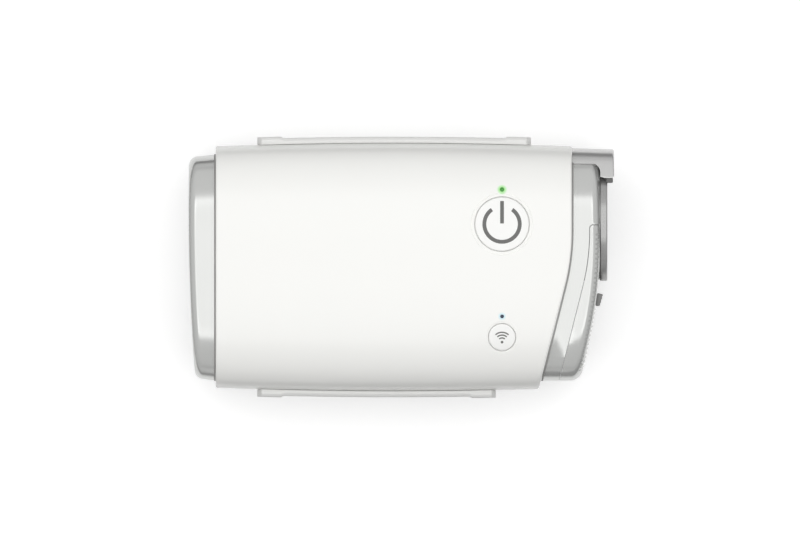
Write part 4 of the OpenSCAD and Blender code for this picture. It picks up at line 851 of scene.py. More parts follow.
def capRing(xOf, inset):
    # closed ring of an end cap; xOf gives x for each y
    points = []
    for k in range(int(360 / casing["step"])):
        across, up = sectionPoint(k * casing["step"])
        y = across * (capHalfWidth - inset) + cap["shift"]
        points.append((xOf(y), y, casing["midZ"] + up * (capHalfHeight - inset)))
    return points


def buildLeftCap():
    steps = roundSteps(cap["edgeRound"], cap["edgeSteps"])
    lipEnd = casing["left"] + casing["lipLength"] + cap["gap"]
    flange = casing["left"] + cap["spigot"]
    deep = cap["wall"] + cap["edgeRound"]
    rings = [capRing(lambda y: capX(y) + depth, cap["taper"] + inset) for depth, inset in steps]
    rings += [capRing(lambda y: x, inset) for x, inset in (
        (casing["left"] - cap["neck"][0], cap["neck"][1]), (lipEnd, 0), (lipEnd + lipRamp, -capTrap),
        (flange, -capTrap), (flange, cap["wall"]))]
    inside = cap["wall"] + cap["taper"]
    rings += [capRing(lambda y: capX(y) + depth, inset) for depth, inset in (
        (deep, inside), (cap["wall"], inside + cap["edgeRound"] * 0.6))]
    piece = loft("leftCap", rings)
    room = cap["inletRoom"]
    carve(piece, brick("inletHole", (jackLow.x - 4, jackLow.y - room, jackLow.z - room),
                       (jackLow.x + 3, jackHigh.y + room, jackHigh.z + room)))
    bevel(piece, cap["inletEdge"], 3, 60)
    dress(smooth(piece), silverPaint, "machine", ["left_end_cap"])


buildLeftCap()
print("left cap built")


# Outlet end: frame, filter cover, hood


def outletForm(name):
    lipEnd = casing["lipLength"] + cap["gap"]
    steps = roundSteps(outletEnd["edgeRound"], outletEnd["edgeSteps"])
    rings = [capRing(lambda y: cutX(y) + shift, inset) for shift, inset in (
        (-cap["spigot"], -capTrap), (-lipEnd - lipRamp, -capTrap), (-lipEnd, 0), (1.5, 0))]
    rings += [capRing(lambda y: faceX(y) - depth, inset) for depth, inset in reversed(steps)]
    return loft(name, rings)


def outletInside(name, inset):
    # the same form, smaller all round
    r = max(outletEnd["edgeRound"] - inset, 0.3)
    rings = [capRing(lambda y: cutX(y) - cap["spigot"] - 1, inset)]
    rings += [capRing(lambda y: faceX(y) - inset - depth, inset + more)
              for depth, more in reversed(roundSteps(r, outletEnd["edgeSteps"]))]
    return loft(name, rings)


clear = 60  # mm, past everything that a cutter has to clear


def tall(name, outline):
    return prism(name, outline, casing["midZ"] - clear, casing["midZ"] + clear)


def coverOutline(grow):
    # plan region of the filter cover, grown by the given amount
    top, r = outletEnd["coverY"] + grow, outletEnd["coverRound"] + grow
    left, front, far = coverX(top) - grow, -50, outletEnd["face"] + 6
    outline = [(far, top)] + arcPoints((left + r, top - r), r, 90, 180)
    count = 48
    ys = [top - r - 1 - (top - r - 1 - front) * k / count for k in range(count + 1)]
    return outline + [(coverX(y) - grow, y) for y in ys] + [(far, front)]


ring = {
    "radius": (ringHigh.y - ringLow.y) / 2,
    "face": ringHigh.x,
    "back": ringLow.x,
    "bore": 11.1,
    "tube": 12.4,
    "edge": 0.5,
    "gap": 0.4,
    "grooveStart": 13.2,
    "grooveWidth": 3.2,
    "grooveDepth": 1.2,
    "seal": 1.0,
    "sealRoom": 0.1,
}
window = {"middleY": -16, "width": 20, "halfHeight": 12, "wall": 1.2, "collar": 44.5}
joint = {"leftWidth": 0.5, "width": 0.55, "slip": 0.02, "proud": 0.12, "deep": 0.1}


def stepOutline(grow):
    # plan region behind the end frame that the hood takes, grown by the given amount
    face, r = outletEnd["face"], outletEnd["cornerRound"]
    corner = (face - r, outletEnd["rearY"] - r)
    start = casing["seam"] + joint["width"] + joint["slip"]
    outline = [(start, corner[1] + r - grow)] + arcPoints(corner, r - grow, 90, 0)
    return outline + [(face + 20, corner[1]), (face + 20, clear), (start, clear)]


def buildEndFrame():
    face, wall = outletEnd["face"], cap["wall"]
    piece = outletForm("endFrame")
    carve(piece, tall("coverSpace", coverOutline(0)))
    carve(piece, tall("hoodStep", stepOutline(outletEnd["hoodSeal"])))
    hollow = outletInside("hollow", wall)
    rear = outletEnd["rearY"] - wall
    carve(hollow, brick("rearWall", (0, rear, -clear), (90, 90, 2 * clear)))
    carve(hollow, tall("coverWall", coverOutline(wall)))
    carve(piece, hollow)
    boss = [(ring["tube"] + 0.1, coverX(0) - wall), (ring["radius"] - 0.3, coverX(0) - wall),
            (ring["radius"] - 0.3, face), (ring["tube"] + 0.1, face)]
    carve(piece, turned("boss", boss, alongX(outletAxis.y, outletAxis.z), 128), "UNION")
    low, high = window["middleY"] - window["width"] / 2, window["middleY"] + window["width"] / 2
    t, half = window["wall"], window["halfHeight"]
    collar = brick("collar", (window["collar"], low - t, casing["midZ"] - half - t),
                   (face - 2, high + t, casing["midZ"] + half + t))
    carve(collar, tall("coverSpace", coverOutline(0)))
    carve(piece, collar, "UNION")
    carve(piece, outletPost("tubeHole", casing["seam"] - 8, face + 1, ring["tube"] + 0.1))
    carve(piece, brick("window", (window["collar"] - 1, low, casing["midZ"] - half),
                       (face, high, casing["midZ"] + half)))
    bevel(piece, outletEnd["edgeBreak"], 2, 50)
    dress(smooth(piece), silverPaint, "machine", ["end_frame"])

    # grey strip between the frame and the hood, painted shade standing for the shadow in that gap, and
    # a dark gasket round the filter cover
    gasket = outletInside("hoodSeal", outletEnd["shadeStripDrop"])
    carve(gasket, tall("outside", stepOutline(outletEnd["hoodSeal"] - 0.02)), "INTERSECT")
    carve(gasket, tall("hoodSpace", stepOutline(-0.04)))
    carve(gasket, outletPost("ringSpace", casing["seam"], face + 1, ring["radius"] - 0.2))
    carve(gasket, outletInside("core", outletEnd["shadeStripDepth"]))
    dress(smooth(gasket), jointShadeGrey, "machine")
    lip = outletInside("coverSeal", outletEnd["coverSealDrop"])
    carve(lip, tall("outside", coverOutline(-0.02)), "INTERSECT")
    carve(lip, tall("inside", coverOutline(-0.14)))
    carve(lip, outletPost("ringSpace", casing["seam"], face + 1, ring["radius"] + 0.1))
    carve(lip, outletInside("core", outletEnd["coverSealDepth"]))
    dress(smooth(lip), sealRubber, "machine")


grille = {
    "middleY": -22.5,
    "pitch": 1.4,
    "count": 13,
    "slot": 0.7,
    "halfHeight": 12,
    "rib": 0.28,
    "wall": 1.6,
    "pocketRim": 3.4,
    "pocketY": (-33.6, -6.3),
    "slotEdge": 0.3,
    "ribEdge": 0.14,
    "dots": 31,
    "dotRadius": 0.26,
    "dotsY": (10.4, -33),
}


def facePath(first, last, count=24):
    ys = [first + (last - first) * k / count for k in range(count + 1)]
    return [(faceX(y), y, casing["midZ"]) for y in ys]


def edgePath(first, last, turn, count=40):
    # along the rounded edge of the outlet end's face, at one angle of the quarter round
    r, t = outletEnd["edgeRound"], math.radians(turn)
    depth, inset = r * (1 - math.sin(t)), r * (1 - math.cos(t))
    path = []
    for k in range(count + 1):
        y = first + (last - first) * k / count
        share = (y - cap["shift"]) / (capHalfWidth - inset)
        path.append((faceX(y) - depth, y, casing["midZ"] + (capHalfHeight - inset) * curveLeft(share)))
    return path


def buildFilterCover():
    low = grille["middleY"] - grille["pitch"] * (grille["count"] - 1) / 2
    high = 2 * grille["middleY"] - low
    mid, half = casing["midZ"], grille["halfHeight"]
    piece = outletForm("filterCover")
    carve(piece, tall("coverRegion", coverOutline(-outletEnd["coverGap"])), "INTERSECT")
    carve(piece, outletPost("ringSpace", casing["seam"], hoodHigh.x, ring["radius"] + ring["gap"]))
    hollow = outletInside("hollow", grille["wall"])
    front, rear = grille["pocketY"]
    pocket = brick("pocket", (casing["seam"] - 20, front, mid - half - grille["pocketRim"]),
                   (outletEnd["face"], rear, mid + half + grille["pocketRim"]))
    carve(hollow, pocket, "INTERSECT")
    carve(piece, hollow)
    bevel(piece, outletEnd["edgeBreak"], 2, 50)
    slot = brick("slot", (-9, -grille["slot"] / 2, -half), (9, grille["slot"] / 2, half))
    bevel(slot, grille["slotEdge"], 3)
    carve(piece, repeat("slots", slot, facePath(low, high), grille["count"], silverPaint))
    dot = turned("dot", [(0, -0.9), (grille["dotRadius"], -0.9), (grille["dotRadius"], 0.6), (0, 0.6)],
                 lambda p, a: (p[1] * 0.707 + p[0] * math.cos(a) * 0.707, p[0] * math.sin(a),
                               p[1] * 0.707 - p[0] * math.cos(a) * 0.707), 16)
    carve(piece, repeat("dots", dot, edgePath(*grille["dotsY"], 45), grille["dots"], silverPaint))
    rib = brick("rib", (-0.5, -0.35, -half - 1), (grille["rib"], 0.35, half + 1))
    bevel(rib, grille["ribEdge"], 2)
    path = facePath(low - grille["pitch"] / 2, high + grille["pitch"] / 2)
    ribs = repeat("ribs", rib, path, grille["count"] + 1, silverPaint)
    piece = join([piece, ribs], "filterCover")
    dress(smooth(piece), silverPaint, "filter_cover", ["filter_cover"])


tab = {
    "rear": -8.3,
    "length": 4.2,
    "reach": 2.0,
    "slant": 0.75,  # share of the reach that is left at the front
    "halfHeight": 6,
    "edge": 0.45,
    "grips": (0.2, 0.5, 0.8),  # places of the grip grooves along the tab
    "gripRadius": 0.22,
}


def buildFilterTab():
    first, last = tab["rear"], tab["rear"] - tab["length"]
    mid, half, reach = casing["midZ"], tab["halfHeight"], tab["reach"]
    outline = [(faceX(first) + 0.05, first), (faceX(first) + reach, first - 0.4),
               (faceX(last) + reach * tab["slant"], last), (faceX(last) + 0.05, last)]
    piece = bevel(prism("filterTab", outline, mid - half, mid + half), tab["edge"], 4)
    groove = post("groove", 0, 0, -half - 1, half + 1, tab["gripRadius"], 16)
    a, b = outline[1], outline[2]
    path = [(a[0] + (b[0] - a[0]) * s + 0.05, a[1] + (b[1] - a[1]) * s, mid) for s in tab["grips"]]
    carve(piece, repeat("grooves", groove, path, len(path), tabGrey))
    dress(smooth(piece), tabGrey, "filter_cover", ["filter_tab"])


hood = {
    "halfWidth": halfWidthAt(casing["seam"]) - 0.55,
    "halfHeight": 18.8,
    "taper": 0.4,
    "start": casing["seam"] + 0.03,
    "spare": 2,  # cut off again, so that the side at the casing stays sharp
    "end": hoodHigh.x,
    "edge": 0.6,
    "tipY": 28.5,
    "tipRound": 0.9,
    "slip": 0.1,
    "sideEdge": 0.22,
    "ringRoom": 0.6,
}
latch = {"low": (65.5, 26.9, 36.0), "high": (67.75, 28.6, 41.6), "edge": 0.35}


def hoodRing(x, inset):
    share = (x - hood["start"]) / (hood["end"] - hood["start"])
    w, h = hood["halfWidth"] - inset - hood["taper"] * share, hood["halfHeight"] - inset
    turns = [sectionPoint(k * 2) for k in range(180)]
    return [(x, across * w, casing["midZ"] + up * h) for across, up in turns]


def buildHood():
    steps = roundSteps(hood["edge"], 6)
    first = hood["start"] - hood["spare"]
    rings = [hoodRing(first, 0)] + [hoodRing(hood["end"] - d, i) for d, i in reversed(steps)]
    piece = loft("outletHood", rings)
    face, back, seat = outletEnd["face"], outletEnd["rearY"], outletEnd["cornerRound"]
    slip, end, tip, r = hood["slip"], hood["end"], hood["tipY"], hood["tipRound"]
    region = [(first - 1, clear), (first - 1, back + slip)]
    region += arcPoints((face - seat, back - seat), seat + slip, 90, 0)
    region += [(face + slip, tip + 0.4)]
    region += arcPoints((face + 1.4, tip + 0.5), 0.5, 225, 270, 4)
    region += arcPoints((end - r, tip + r), r, 270, 360, 8)
    region += [(end + 1, tip + 1.2), (end + 1, clear)]
    carve(piece, tall("region", region), "INTERSECT")
    room = ring["radius"] + ring["gap"] + hood["ringRoom"]
    carve(piece, outletPost("ringSpace", face - 1, end + 1, room))
    bevel(piece, hood["sideEdge"], 3, 50)
    carve(piece, brick("spare", (first - 2, 0, -clear), (hood["start"], clear, 2 * clear)))
    dress(smooth(piece), greyHood, "machine", ["outlet_hood"])
    catch = bevel(brick("hoodCatch", latch["low"], latch["high"]), latch["edge"], 3)
    dress(smooth(catch), latchGrey, "machine", ())


def buildJointShadeStrip(name, xOf, side, width):
    # thin grey strip that fills the joint between the casing and an end cap: painted shade, standing
    # for the shadow in the joint
    slip, proud, deep = joint["slip"], joint["proud"], joint["deep"]
    section = ((slip, deep), (slip, 0.05 - proud), (width * 0.3, -proud),
               (width * 0.7, -proud), (width, 0.05 - proud), (width, deep))
    rings = [capRing(lambda y: xOf(y) + side * across, inset) for across, inset in section]
    count, last = len(rings[0]), len(rings)
    faces = []
    for k in range(last):
        for i in range(count):
            j, n = (i + 1) % count, (k + 1) % last
            faces.append((k * count + i, k * count + j, n * count + j, n * count + i))
    piece = meshPiece(name, [p for ring in rings for p in ring], faces)
    dress(smooth(piece, 60), jointShadeGrey, "machine")


buildJointShadeStrip("leftJointSeal", lambda y: casing["left"], -1, joint["leftWidth"])
buildJointShadeStrip("rightJointSeal", cutX, 1, joint["width"])
buildEndFrame()
buildFilterCover()
buildFilterTab()
buildHood()
print("outlet end built")


def buildRing():
    start, width, deep = ring["grooveStart"], ring["grooveWidth"], ring["grooveDepth"]
    face, r, e, back = ring["face"], ring["radius"], ring["edge"], outletEnd["face"]
    bore, tube, base = ring["bore"], ring["tube"], face - deep
    profile = [(bore, ring["back"]), (tube, ring["back"]), (tube, back), (r - 0.25, back),
               (r, back + 0.25)]
    turns = [math.radians(a) for a in (0, 22, 45, 68, 90)]
    profile += [(r - e + e * math.cos(t), face - e + e * math.sin(t)) for t in turns]
    profile += [(start + width, face), (start + width, base), (start, base), (start, face),
                (bore + 0.6, face), (bore + 0.18, face - 0.2), (bore, face - 0.6)]
    piece = turned("outletRing", profile, alongX(outletAxis.y, outletAxis.z), 160)
    dress(smooth(piece), outletGrey, "machine", ["outlet_ring"])

    inner, outer = start + ring["sealRoom"], start + width - ring["sealRoom"]
    middle, crown = (inner + outer) / 2, ring["seal"]
    lip = [(inner, base), (outer, base), (outer, base + 0.5), (outer - 0.5, base + 0.6),
           (middle + 0.35, base + crown * 0.93), (middle, base + crown),
           (middle - 0.35, base + crown * 0.93), (inner + 0.5, base + 0.6), (inner, base + 0.5)]
    seal = turned("outletSeal", lip, alongX(outletAxis.y, outletAxis.z), 128)
    dress(smooth(seal, 50), sealRubber, "machine", ["outlet_seal"])


buildRing()
print("outlet ring built")


# Side rails


rail = {
    "start": casing["left"] + 13.34,
    "rearLength": 87.56,
    "frontLength": 76.32,
    "gap": 0.1,
    "full": 1.9,
    "halfHeight": 6,
    "bevel": 0.8,
    "end": 1.35,
    "endDrop": 3.2,  # what the half height loses at the rail's very end
    "pad": 0.5,
    "padLength": 7,
    "padEase": 0.7,
    "edge": 0.22,
    "stations": 22,
}


def sideY(x, height):
    # the casing's side at a height from its middle
    power = casing["power"]
    return halfWidthAt(x) * (1 - (abs(height) / halfHeightAt(x)) ** power) ** (1 / power)


def railRing(x, thick, half):
    gap, c = rail["gap"], min(rail["bevel"], thick * 0.6)
    mid, levels, edge = casing["midZ"], 6, sideY(x, half) + gap
    inner = [half * (1 - 2 * k / levels) for k in range(1, levels)]
    outer = [(half - c) * (2 * k / levels - 1) for k in range(levels + 1)]
    section = [(x, edge + thick - c, mid + half), (x, edge, mid + half)]
    section += [(x, sideY(x, z) + gap, mid + z) for z in inner]
    section += [(x, edge, mid - half), (x, edge + thick - c, mid - half)]
    return section + [(x, sideY(x, z) + gap + thick, mid + z) for z in outer]


def railBody(name, length):
    first, last = rail["start"], rail["start"] + length
    full, half = rail["full"] - rail["gap"], rail["halfHeight"]
    high, padEnd = full + rail["pad"], rail["end"] + rail["padLength"]
    # (distance from the end, thickness, half height)
    end = [(0, high, half - rail["endDrop"]), (rail["end"], high, half),
           (padEnd - rail["padEase"], high, half), (padEnd, full, half)]
    rings = [railRing(first + s, t, h) for s, t, h in end]
    count, inset = rail["stations"], padEnd + 1
    for k in range(count + 1):
        rings.append(railRing(first + inset + (length - 2 * inset) * k / count, full, half))
    rings += [railRing(last - s, t, h) for s, t, h in reversed(end)]
    return bevel(loft(name, rings, 1), rail["edge"], 3, 28)


def buildRails():
    rear = railBody("rearRail", rail["rearLength"])
    dress(smooth(rear, 40), railSoft, "machine", ["rear_rail"])
    front = mirrored(railBody("frontRail", rail["frontLength"]), 1)
    dress(smooth(front, 40), railSoft, "machine", ["front_rail"])


buildRails()
print("rails built")


# Buttons, symbols and lamps


button = {
    "gap": 0.2,
    "edge": 0.3,
    "drop": 0.02,  # how far the cap lies under the casing's surface
    "skirt": 0.12,
    "skirtTop": 0.5,
    "flange": 0.8,
    "wall": 1.2,
    "roof": 1.6,
    "stem": 1.6,
}


def buttonCap(name, node, radius, body):
    # cap following the casing's surface, with a skirt, a stop flange and a stem
    low, high = boxOf(node)
    middle = (low + high) / 2
    edge, foot, top, wide = button["edge"], low.z, low.z + button["flange"], (high.x - low.x) / 2
    drop, skirt, inner = button["drop"], radius + button["skirt"], radius - button["wall"]
    stem, roof = button["stem"], topZ(middle.x, abs(middle.y) + radius) - button["roof"]
    turns = [math.radians(a) for a in (90, 72, 54, 36, 18, 0)]
    profile = [(radius * share, drop, None) for share in (0, 0.25, 0.5, 0.7, 0.85)]
    profile += [(radius - edge + edge * math.cos(t), drop + edge * (1 - math.sin(t)), None)
                for t in turns]
    profile += [(skirt, button["skirtTop"], None)]
    profile += [(r, 0, z) for r, z in ((skirt, top), (wide, top), (wide, foot), (inner, foot),
                                       (inner, roof), (stem, roof), (stem, top), (0, top))]
    piece = turned(name, profile, underSkin(middle.x, middle.y), 128)
    dress(smooth(piece), buttonWhite, body, [node])


def printed(name, strips, body):
    # ink lying on the casing's surface: each strip is a row of (inner, outer) plan points
    points, faces = [], []
    for strip in strips:
        start, count = len(points), len(strip)
        for inner, outer in strip:
            for x, y in (inner, outer):
                points.append((x, y, topZ(x, y) - ink["sunk"]))
            for x, y in (outer, inner):
                points.append((x, y, topZ(x, y) + ink["proud"]))
        for k in range(count - 1):
            a, b = start + 4 * k, start + 4 * (k + 1)
            faces += [(a + i, a + (i + 1) % 4, b + (i + 1) % 4, b + i) for i in range(4)]
        if math.dist(strip[0][1], strip[-1][1]) < 0.001:
            continue  # a closed strip has no ends
        end = start + 4 * (count - 1)
        faces += [(start + 3, start + 2, start + 1, start), (end, end + 1, end + 2, end + 3)]
    dress(smooth(meshPiece(name, points, faces)), printedInk, body)


def arcStrip(centre, inner, outer, start, end, count):
    a, b = arcPoints(centre, inner, start, end, count), arcPoints(centre, outer, start, end, count)
    return list(zip(a, b))


ink = {"sunk": 0.06, "proud": 0.012}
startSign = {"inner": 5.05, "outer": 6.28, "gap": 35, "bar": 1.2, "barTop": 7.4, "barBottom": 0.2}
wirelessSign = {"dot": 0.42, "footY": -1.55, "arcs": (1.35, 2.25, 3.15), "width": 0.42, "half": 42}


def buildButtons():
    gap = button["gap"]
    buttonCap("startButton", "start_button", startHole["radius"] - gap, "start_button")
    buttonCap("wirelessButton", "wireless_button", wirelessHole["radius"] - gap, "wireless_button")
    x, y = startMiddle.x, startMiddle.y
    sign, w, count = startSign, startSign["bar"] / 2, 8
    arc = arcStrip((x, y), sign["inner"], sign["outer"], 90 + sign["gap"], 450 - sign["gap"], 96)
    rise = sign["barTop"] - sign["barBottom"]
    heights = [y + sign["barBottom"] + rise * k / count for k in range(count + 1)]
    printed("startSymbol", [arc, [((x + w, h), (x - w, h)) for h in heights]], "start_button")
    x, y = wirelessMiddle.x, wirelessMiddle.y + wirelessSign["footY"]
    half, w = wirelessSign["half"], wirelessSign["width"] / 2
    strips = [arcStrip((x, y), r - w, r + w, 90 - half, 90 + half, 24) for r in wirelessSign["arcs"]]
    strips.append(arcStrip((x, y), 0.02, wirelessSign["dot"], 0, 360, 32))
    printed("wirelessSymbol", strips, "wireless_button")


def lampPipe(name, node, radius, material):
    low, high = boxOf(node)
    middle, foot, wide = (low + high) / 2, low.z, (high.x - low.x) / 2
    turns = [math.radians(a) for a in (0, 30, 60, 90)]
    dome = 0.18
    profile = [(0, 0, foot), (wide, 0, foot), (wide, 0, foot + 1), (radius, 0, foot + 1)]
    profile += [(radius * (0.7 + 0.3 * math.cos(t)), dome * (1 - math.sin(t)), None) for t in turns]
    profile += [(0, -0.03, None)]
    piece = turned(name, profile, underSkin(middle.x, middle.y), 40)
    dress(smooth(piece, 50), material, "machine", [node])


buildButtons()
lampPipe("startLamp", "start_lamp", 0.65, lampGreen)
lampPipe("wirelessLamp", "wireless_lamp", 0.55, lampBlue)
print("buttons built")


# Underside: feet and case screws


def buildFeet():
    r, e, deep = feet["radius"], feet["edge"], feet["grooveDepth"]
    profile = [(0, 0)]
    for groove in feet["grooves"]:
        w = feet["grooveWidth"] / 2
        profile += [(groove - w, 0), (groove - w * 0.6, deep),
                    (groove + w * 0.6, deep), (groove + w, 0)]
    turns = [math.radians(a) for a in (0, 22, 45, 68, 90)]
    profile += [(r - e + e * math.sin(t), e - e * math.cos(t)) for t in turns]
    profile += [(r, feet["pocket"]), (0, feet["pocket"])]
    pads = [turned("foot", profile, upright(x, y), 64) for x, y in footPlaces]
    dress(smooth(join(pads, "rubberFeet")), footRubber, "machine", ["rubber_feet"])


def screwUnit(headRadius, headHeight, shank, length, recess=0.9):
    # pan-head screw with a cross recess, its head's seat at the origin, pointing up
    turns = [math.radians(a) for a in (0, 25, 50, 70, 90)]
    crown = [(headRadius * (0.62 + 0.38 * math.cos(t)), -headHeight * (0.35 + 0.65 * math.sin(t)))
             for t in turns]
    profile = [(0, -headHeight)] + crown[::-1]
    profile += [(headRadius, 0), (shank, 0), (shank, length - 0.8), (shank * 0.5, length), (0, length)]
    piece = turned("screw", profile, upright(0, 0), 32)
    arm, w = headRadius * 0.55, headRadius * 0.11
    for a, b in ((arm, w), (w, arm)):
        carve(piece, brick("recess", (-a, -b, -headHeight - 1), (a, b, -headHeight + recess)))
    return piece


def buildCaseScrews():
    s = casingScrews
    unit = screwUnit(s["headRadius"], s["headHeight"], s["shank"], s["length"])
    pieces = []
    for x, y in s["places"]:
        copy = bpy.data.objects.new("caseScrew", unit.data.copy())
        bpy.context.scene.collection.objects.link(copy)
        for vertex in copy.data.vertices:
            vertex.co += Vector((x, y, s["headZ"])) * mm
        pieces.append(copy)
    discard(unit)
    dress(smooth(join(pieces, "caseScrews")), screwSteel, "machine", ["case_screws"])


buildFeet()
buildCaseScrews()
print("underside built")


# Everything else: the frame's own solids with their edges broken and their real finish


refinedEdges = {
    "filter_pad": 0.3, "power_jack": 0.2, "jack_pins": 0.15, "chassis": 0.15,
    "chassis_screws": 0.2, "blower_mounts": 0.2, "scroll_base": 0.15, "scroll_lid": 0.15,
    "impeller": 0.08, "rotor_shaft": 0.1, "rotor_magnet": 0.15, "stator_core": 0.08,
    "stator_coils": 0.4, "motor_can": 0.15, "lower_bearing": 0.15, "upper_bearing": 0.15,
    "inlet_gasket": 0.12, "inlet_duct": 0.2, "inlet_foam": 0.3, "inlet_seal": 0.12,
    "outlet_duct": 0.2, "circuit_board": 0.08, "processor": 0.1, "power_chip": 0.1,
    "capacitors": 0.25, "inductor": 0.3, "wireless_module": 0.15, "pressure_sensor": 0.12,
    "board_connectors": 0.15, "lamp_chips": 0.06, "board_screws": 0.15, "start_plunger": 0.1,
    "wireless_plunger": 0.1, "start_switch": 0.12, "wireless_switch": 0.1,
}


def refine(node, edge, slot, body):
    # the frame's solid, merged, with its edges broken
    source = frame["nodes"][node]
    work = bmesh.new()
    work.from_mesh(source.data)
    bmesh.ops.transform(work, matrix=source.matrix_world, verts=work.verts)
    bmesh.ops.remove_doubles(work, verts=work.verts, dist=1e-6)
    bmesh.ops.dissolve_limit(work, angle_limit=math.radians(1), verts=work.verts, edges=work.edges)
    bmesh.ops.recalc_face_normals(work, faces=work.faces)
    mesh = bpy.data.meshes.new(node + "Refined")
    work.to_mesh(mesh)
    work.free()
    piece = bpy.data.objects.new(node + "Refined", mesh)
    bpy.context.scene.collection.objects.link(piece)
    bevel(piece, edge, 2, 35)
    dress(smooth(piece, 35), finishOf[slot], body, [node])


bodies = frame["record"]["behaviour"]["bodies"]
bodyOf = {node: body for body, nodes in bodies.items() for node in nodes}
for part in frame["record"]["subparts"]:
    node, slot = part["node"], part["material_slot"]
    if node in refinedEdges:
        refine(node, refinedEdges[node], slot, bodyOf[node])
    elif not frame["nodes"][node].hide_render:
        mesh = frame["nodes"][node].data
        mesh.materials.clear()
        mesh.materials.append(finishOf[slot])
print("inner parts refined")


# Stage, light and camera


photo = {"mmPerPixel": 0.32, "width": 800, "middle": 401.25}
# metal and glass mirror a white sheet with a dark strip round it, which the camera doesn't see;
# a sheet of (1.2, 1.2) makes the floor that they mirror plain
sweep = {
    "half": 1.2,
    "sheet": (0.122, 0.072),  # half size
    "sheetShift": -0.006,
    "edge": 0.007,
    "gap": (0.03, 0.085),  # width of the dark strip round the sheet at the left and at the right
    "gapGrey": (0.4, 0.1),  # the strip's grey before the machine and behind it, where 0 is black
    "turn": 0.06,  # the strip's width and grey change over this distance on each side of the middle
    "near": 0.9,
    "far": 0.9,
    "paper": 0.9,
    "bounce": 0.45,  # how pale the floor is to the light that it throws back at the machine
    "glow": 0.36,
    "mirroredGlow": 0.3,
}


def rayKinds(tree):
    # what the camera sees, and what metal and glass show
    path = addNode(tree, "ShaderNodeLightPath")
    mirrorLike = addNode(tree, "ShaderNodeMath", {"operation": "MAXIMUM"},
                         {0: path.outputs["Is Glossy Ray"], 1: path.outputs["Is Transmission Ray"]})
    return path.outputs["Is Camera Ray"], mirrorLike.outputs[0]


def ramp(tree, source, start, end, low, high):
    return addNode(tree, "ShaderNodeMapRange",
                   {"From Min": start, "From Max": end, "To Min": low, "To Max": high},
                   {"Value": source}).outputs["Result"]


def choose(tree, share, first, second):
    # the first value or socket where share is 0, the second where it is 1
    values, links = {"data_type": "FLOAT"}, {0: share}
    for socket, given in ((2, first), (3, second)):
        (values if isinstance(given, float) else links)[socket] = given
    return addNode(tree, "ShaderNodeMix", values, links).outputs[0]


def combine(tree, operation, first, second):
    values, links = {"operation": operation}, {0: first}
    (values if isinstance(second, float) else links)[1] = second
    return addNode(tree, "ShaderNodeMath", values, links).outputs[0]


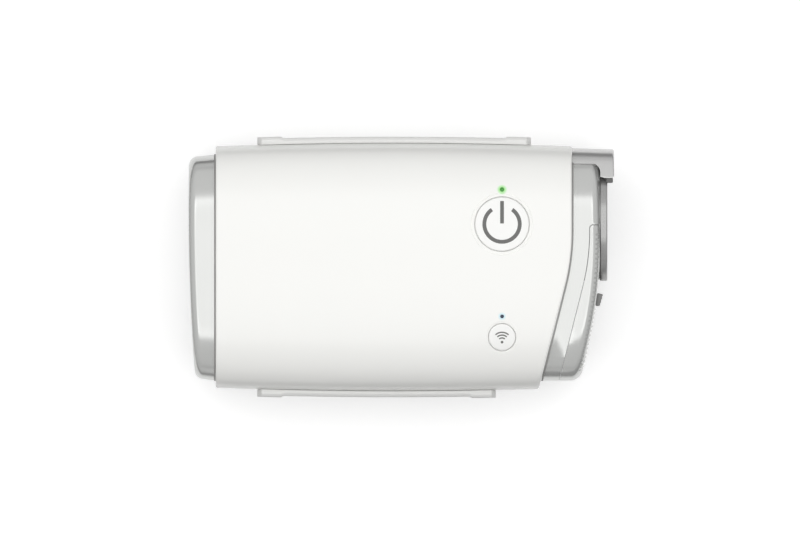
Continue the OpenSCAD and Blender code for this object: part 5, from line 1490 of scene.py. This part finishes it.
def buildStage():
    size = sweep["half"]
    corners = [(-size, -size, 0), (size, -size, 0), (size, size, 0), (-size, size, 0)]
    mesh = bpy.data.meshes.new("floor")
    mesh.from_pydata(corners, [], [(0, 1, 2, 3)])
    floor = bpy.data.objects.new("floor", mesh)
    bpy.context.scene.collection.objects.link(floor)
    material = bpy.data.materials.new("paperSweep")
    material.use_nodes = True
    tree = material.node_tree
    tree.nodes.clear()
    cameraRay, mirrorLike = rayKinds(tree)
    place = addNode(tree, "ShaderNodeTexCoord").outputs["Object"]
    along = addNode(tree, "ShaderNodeSeparateXYZ", None, {0: place})
    nearer = addNode(tree, "ShaderNodeVectorMath", {"operation": "ADD", 1: (0, sweep["sheetShift"], 0)},
                     {0: place})
    reach = addNode(tree, "ShaderNodeVectorMath", {"operation": "ABSOLUTE"},
                    {0: nearer.outputs["Vector"]})
    past = addNode(tree, "ShaderNodeVectorMath", {"operation": "SUBTRACT", 1: (*sweep["sheet"], 0)},
                   {0: reach.outputs["Vector"]})
    sides = addNode(tree, "ShaderNodeSeparateXYZ", None, {0: past.outputs["Vector"]})
    # metal and glass mirror a white sheet, a darker strip round it and a pale table beyond
    out = combine(tree, "MAXIMUM", sides.outputs["X"], sides.outputs["Y"])
    sheet = ramp(tree, out, 0.0, sweep["edge"], 1.0, 0.0)
    width = ramp(tree, along.outputs["X"], -sweep["turn"], sweep["turn"], *sweep["gap"])
    beyond = combine(tree, "SUBTRACT", out, width)
    stripGrey = ramp(tree, along.outputs["Y"], -sweep["turn"], sweep["turn"], *sweep["gapGrey"])
    table = addNode(tree, "ShaderNodeMapRange",
                    {"From Min": 0.0, "From Max": sweep["edge"] * 2, "To Max": sweep["far"]},
                    {"Value": beyond, "To Min": stripGrey})
    shownByMetal = choose(tree, sheet, table.outputs["Result"], sweep["near"])
    grey = choose(tree, mirrorLike, sweep["bounce"], shownByMetal)
    shade = choose(tree, cameraRay, grey, sweep["paper"])
    paper = addNode(tree, "ShaderNodeBsdfDiffuse", None, {"Color": shade})
    onSheet = combine(tree, "MULTIPLY", mirrorLike, sheet)
    sheetGlow = combine(tree, "MULTIPLY", onSheet, sweep["mirroredGlow"])
    strength = choose(tree, cameraRay, sheetGlow, sweep["glow"])
    glow = addNode(tree, "ShaderNodeEmission", {"Color": (1, 1, 1, 1)}, {"Strength": strength})
    both = addNode(tree, "ShaderNodeAddShader", None, {0: paper.outputs[0], 1: glow.outputs[0]})
    addNode(tree, "ShaderNodeOutputMaterial", None, {"Surface": both.outputs[0]})
    mesh.materials.append(material)


def areaLamp(name, settings):
    data = bpy.data.lights.new(name, "AREA")
    data.shape = "RECTANGLE"
    data.size, data.size_y = settings["size"]
    data.energy = settings["power"]
    lamp = bpy.data.objects.new(name, data)
    bpy.context.scene.collection.objects.link(lamp)
    lamp.location = settings["at"]
    lamp.rotation_euler = (Vector((0, 0, 0.05)) - lamp.location).to_track_quat("-Z", "Y").to_euler()
    return lamp


softbox = {"at": (0, 0, 0.65), "size": (1.0, 0.87), "power": 4.65}

buildStage()
areaLamp("softbox", softbox)

# the room: dim for what it lights, pale where metal mirrors it
# light and wall are each given before the machine and behind it
room = {
    "light": (0.2, 0.58),
    "wall": (0.8, 0.95),
    "wallTop": (0.79, 0.9),  # upward part of a direction, between which the walls fade out
}
world = bpy.data.worlds.new("studio")
world.use_nodes = True
sky = world.node_tree
place = addNode(sky, "ShaderNodeTexCoord")
axes = addNode(sky, "ShaderNodeSeparateXYZ", None, {0: place.outputs["Generated"]})
share = ramp(sky, axes.outputs["Y"], -1.0, 1.0, 0.0, 1.0)
soft = ramp(sky, share, 0.0, 1.0, *room["light"])
wall = ramp(sky, share, 0.0, 1.0, *room["wall"])
cameraRay, mirrorLike = rayKinds(sky)
seen = choose(sky, mirrorLike, soft, wall)
walls = combine(sky, "MULTIPLY", seen, ramp(sky, axes.outputs["Z"], *room["wallTop"], 1.0, 0.0))
sky.links.new(choose(sky, cameraRay, walls, 1.0), sky.nodes["Background"].inputs["Strength"])
sky.nodes["Background"].inputs["Color"].default_value = (1, 1, 1, 1)
bpy.context.scene.world = world

camera = bpy.data.objects.new("camera", bpy.data.cameras.new("camera"))
bpy.context.scene.collection.objects.link(camera)
camera.data.type = "ORTHO"
camera.data.ortho_scale = photo["mmPerPixel"] * photo["width"] * mm
camera.location = (-(photo["middle"] - photo["width"] / 2) * photo["mmPerPixel"] * mm, 0, 1.0)
bpy.context.scene.camera = camera
bpy.context.scene.view_settings.view_transform = "Standard"

print("scene ready")
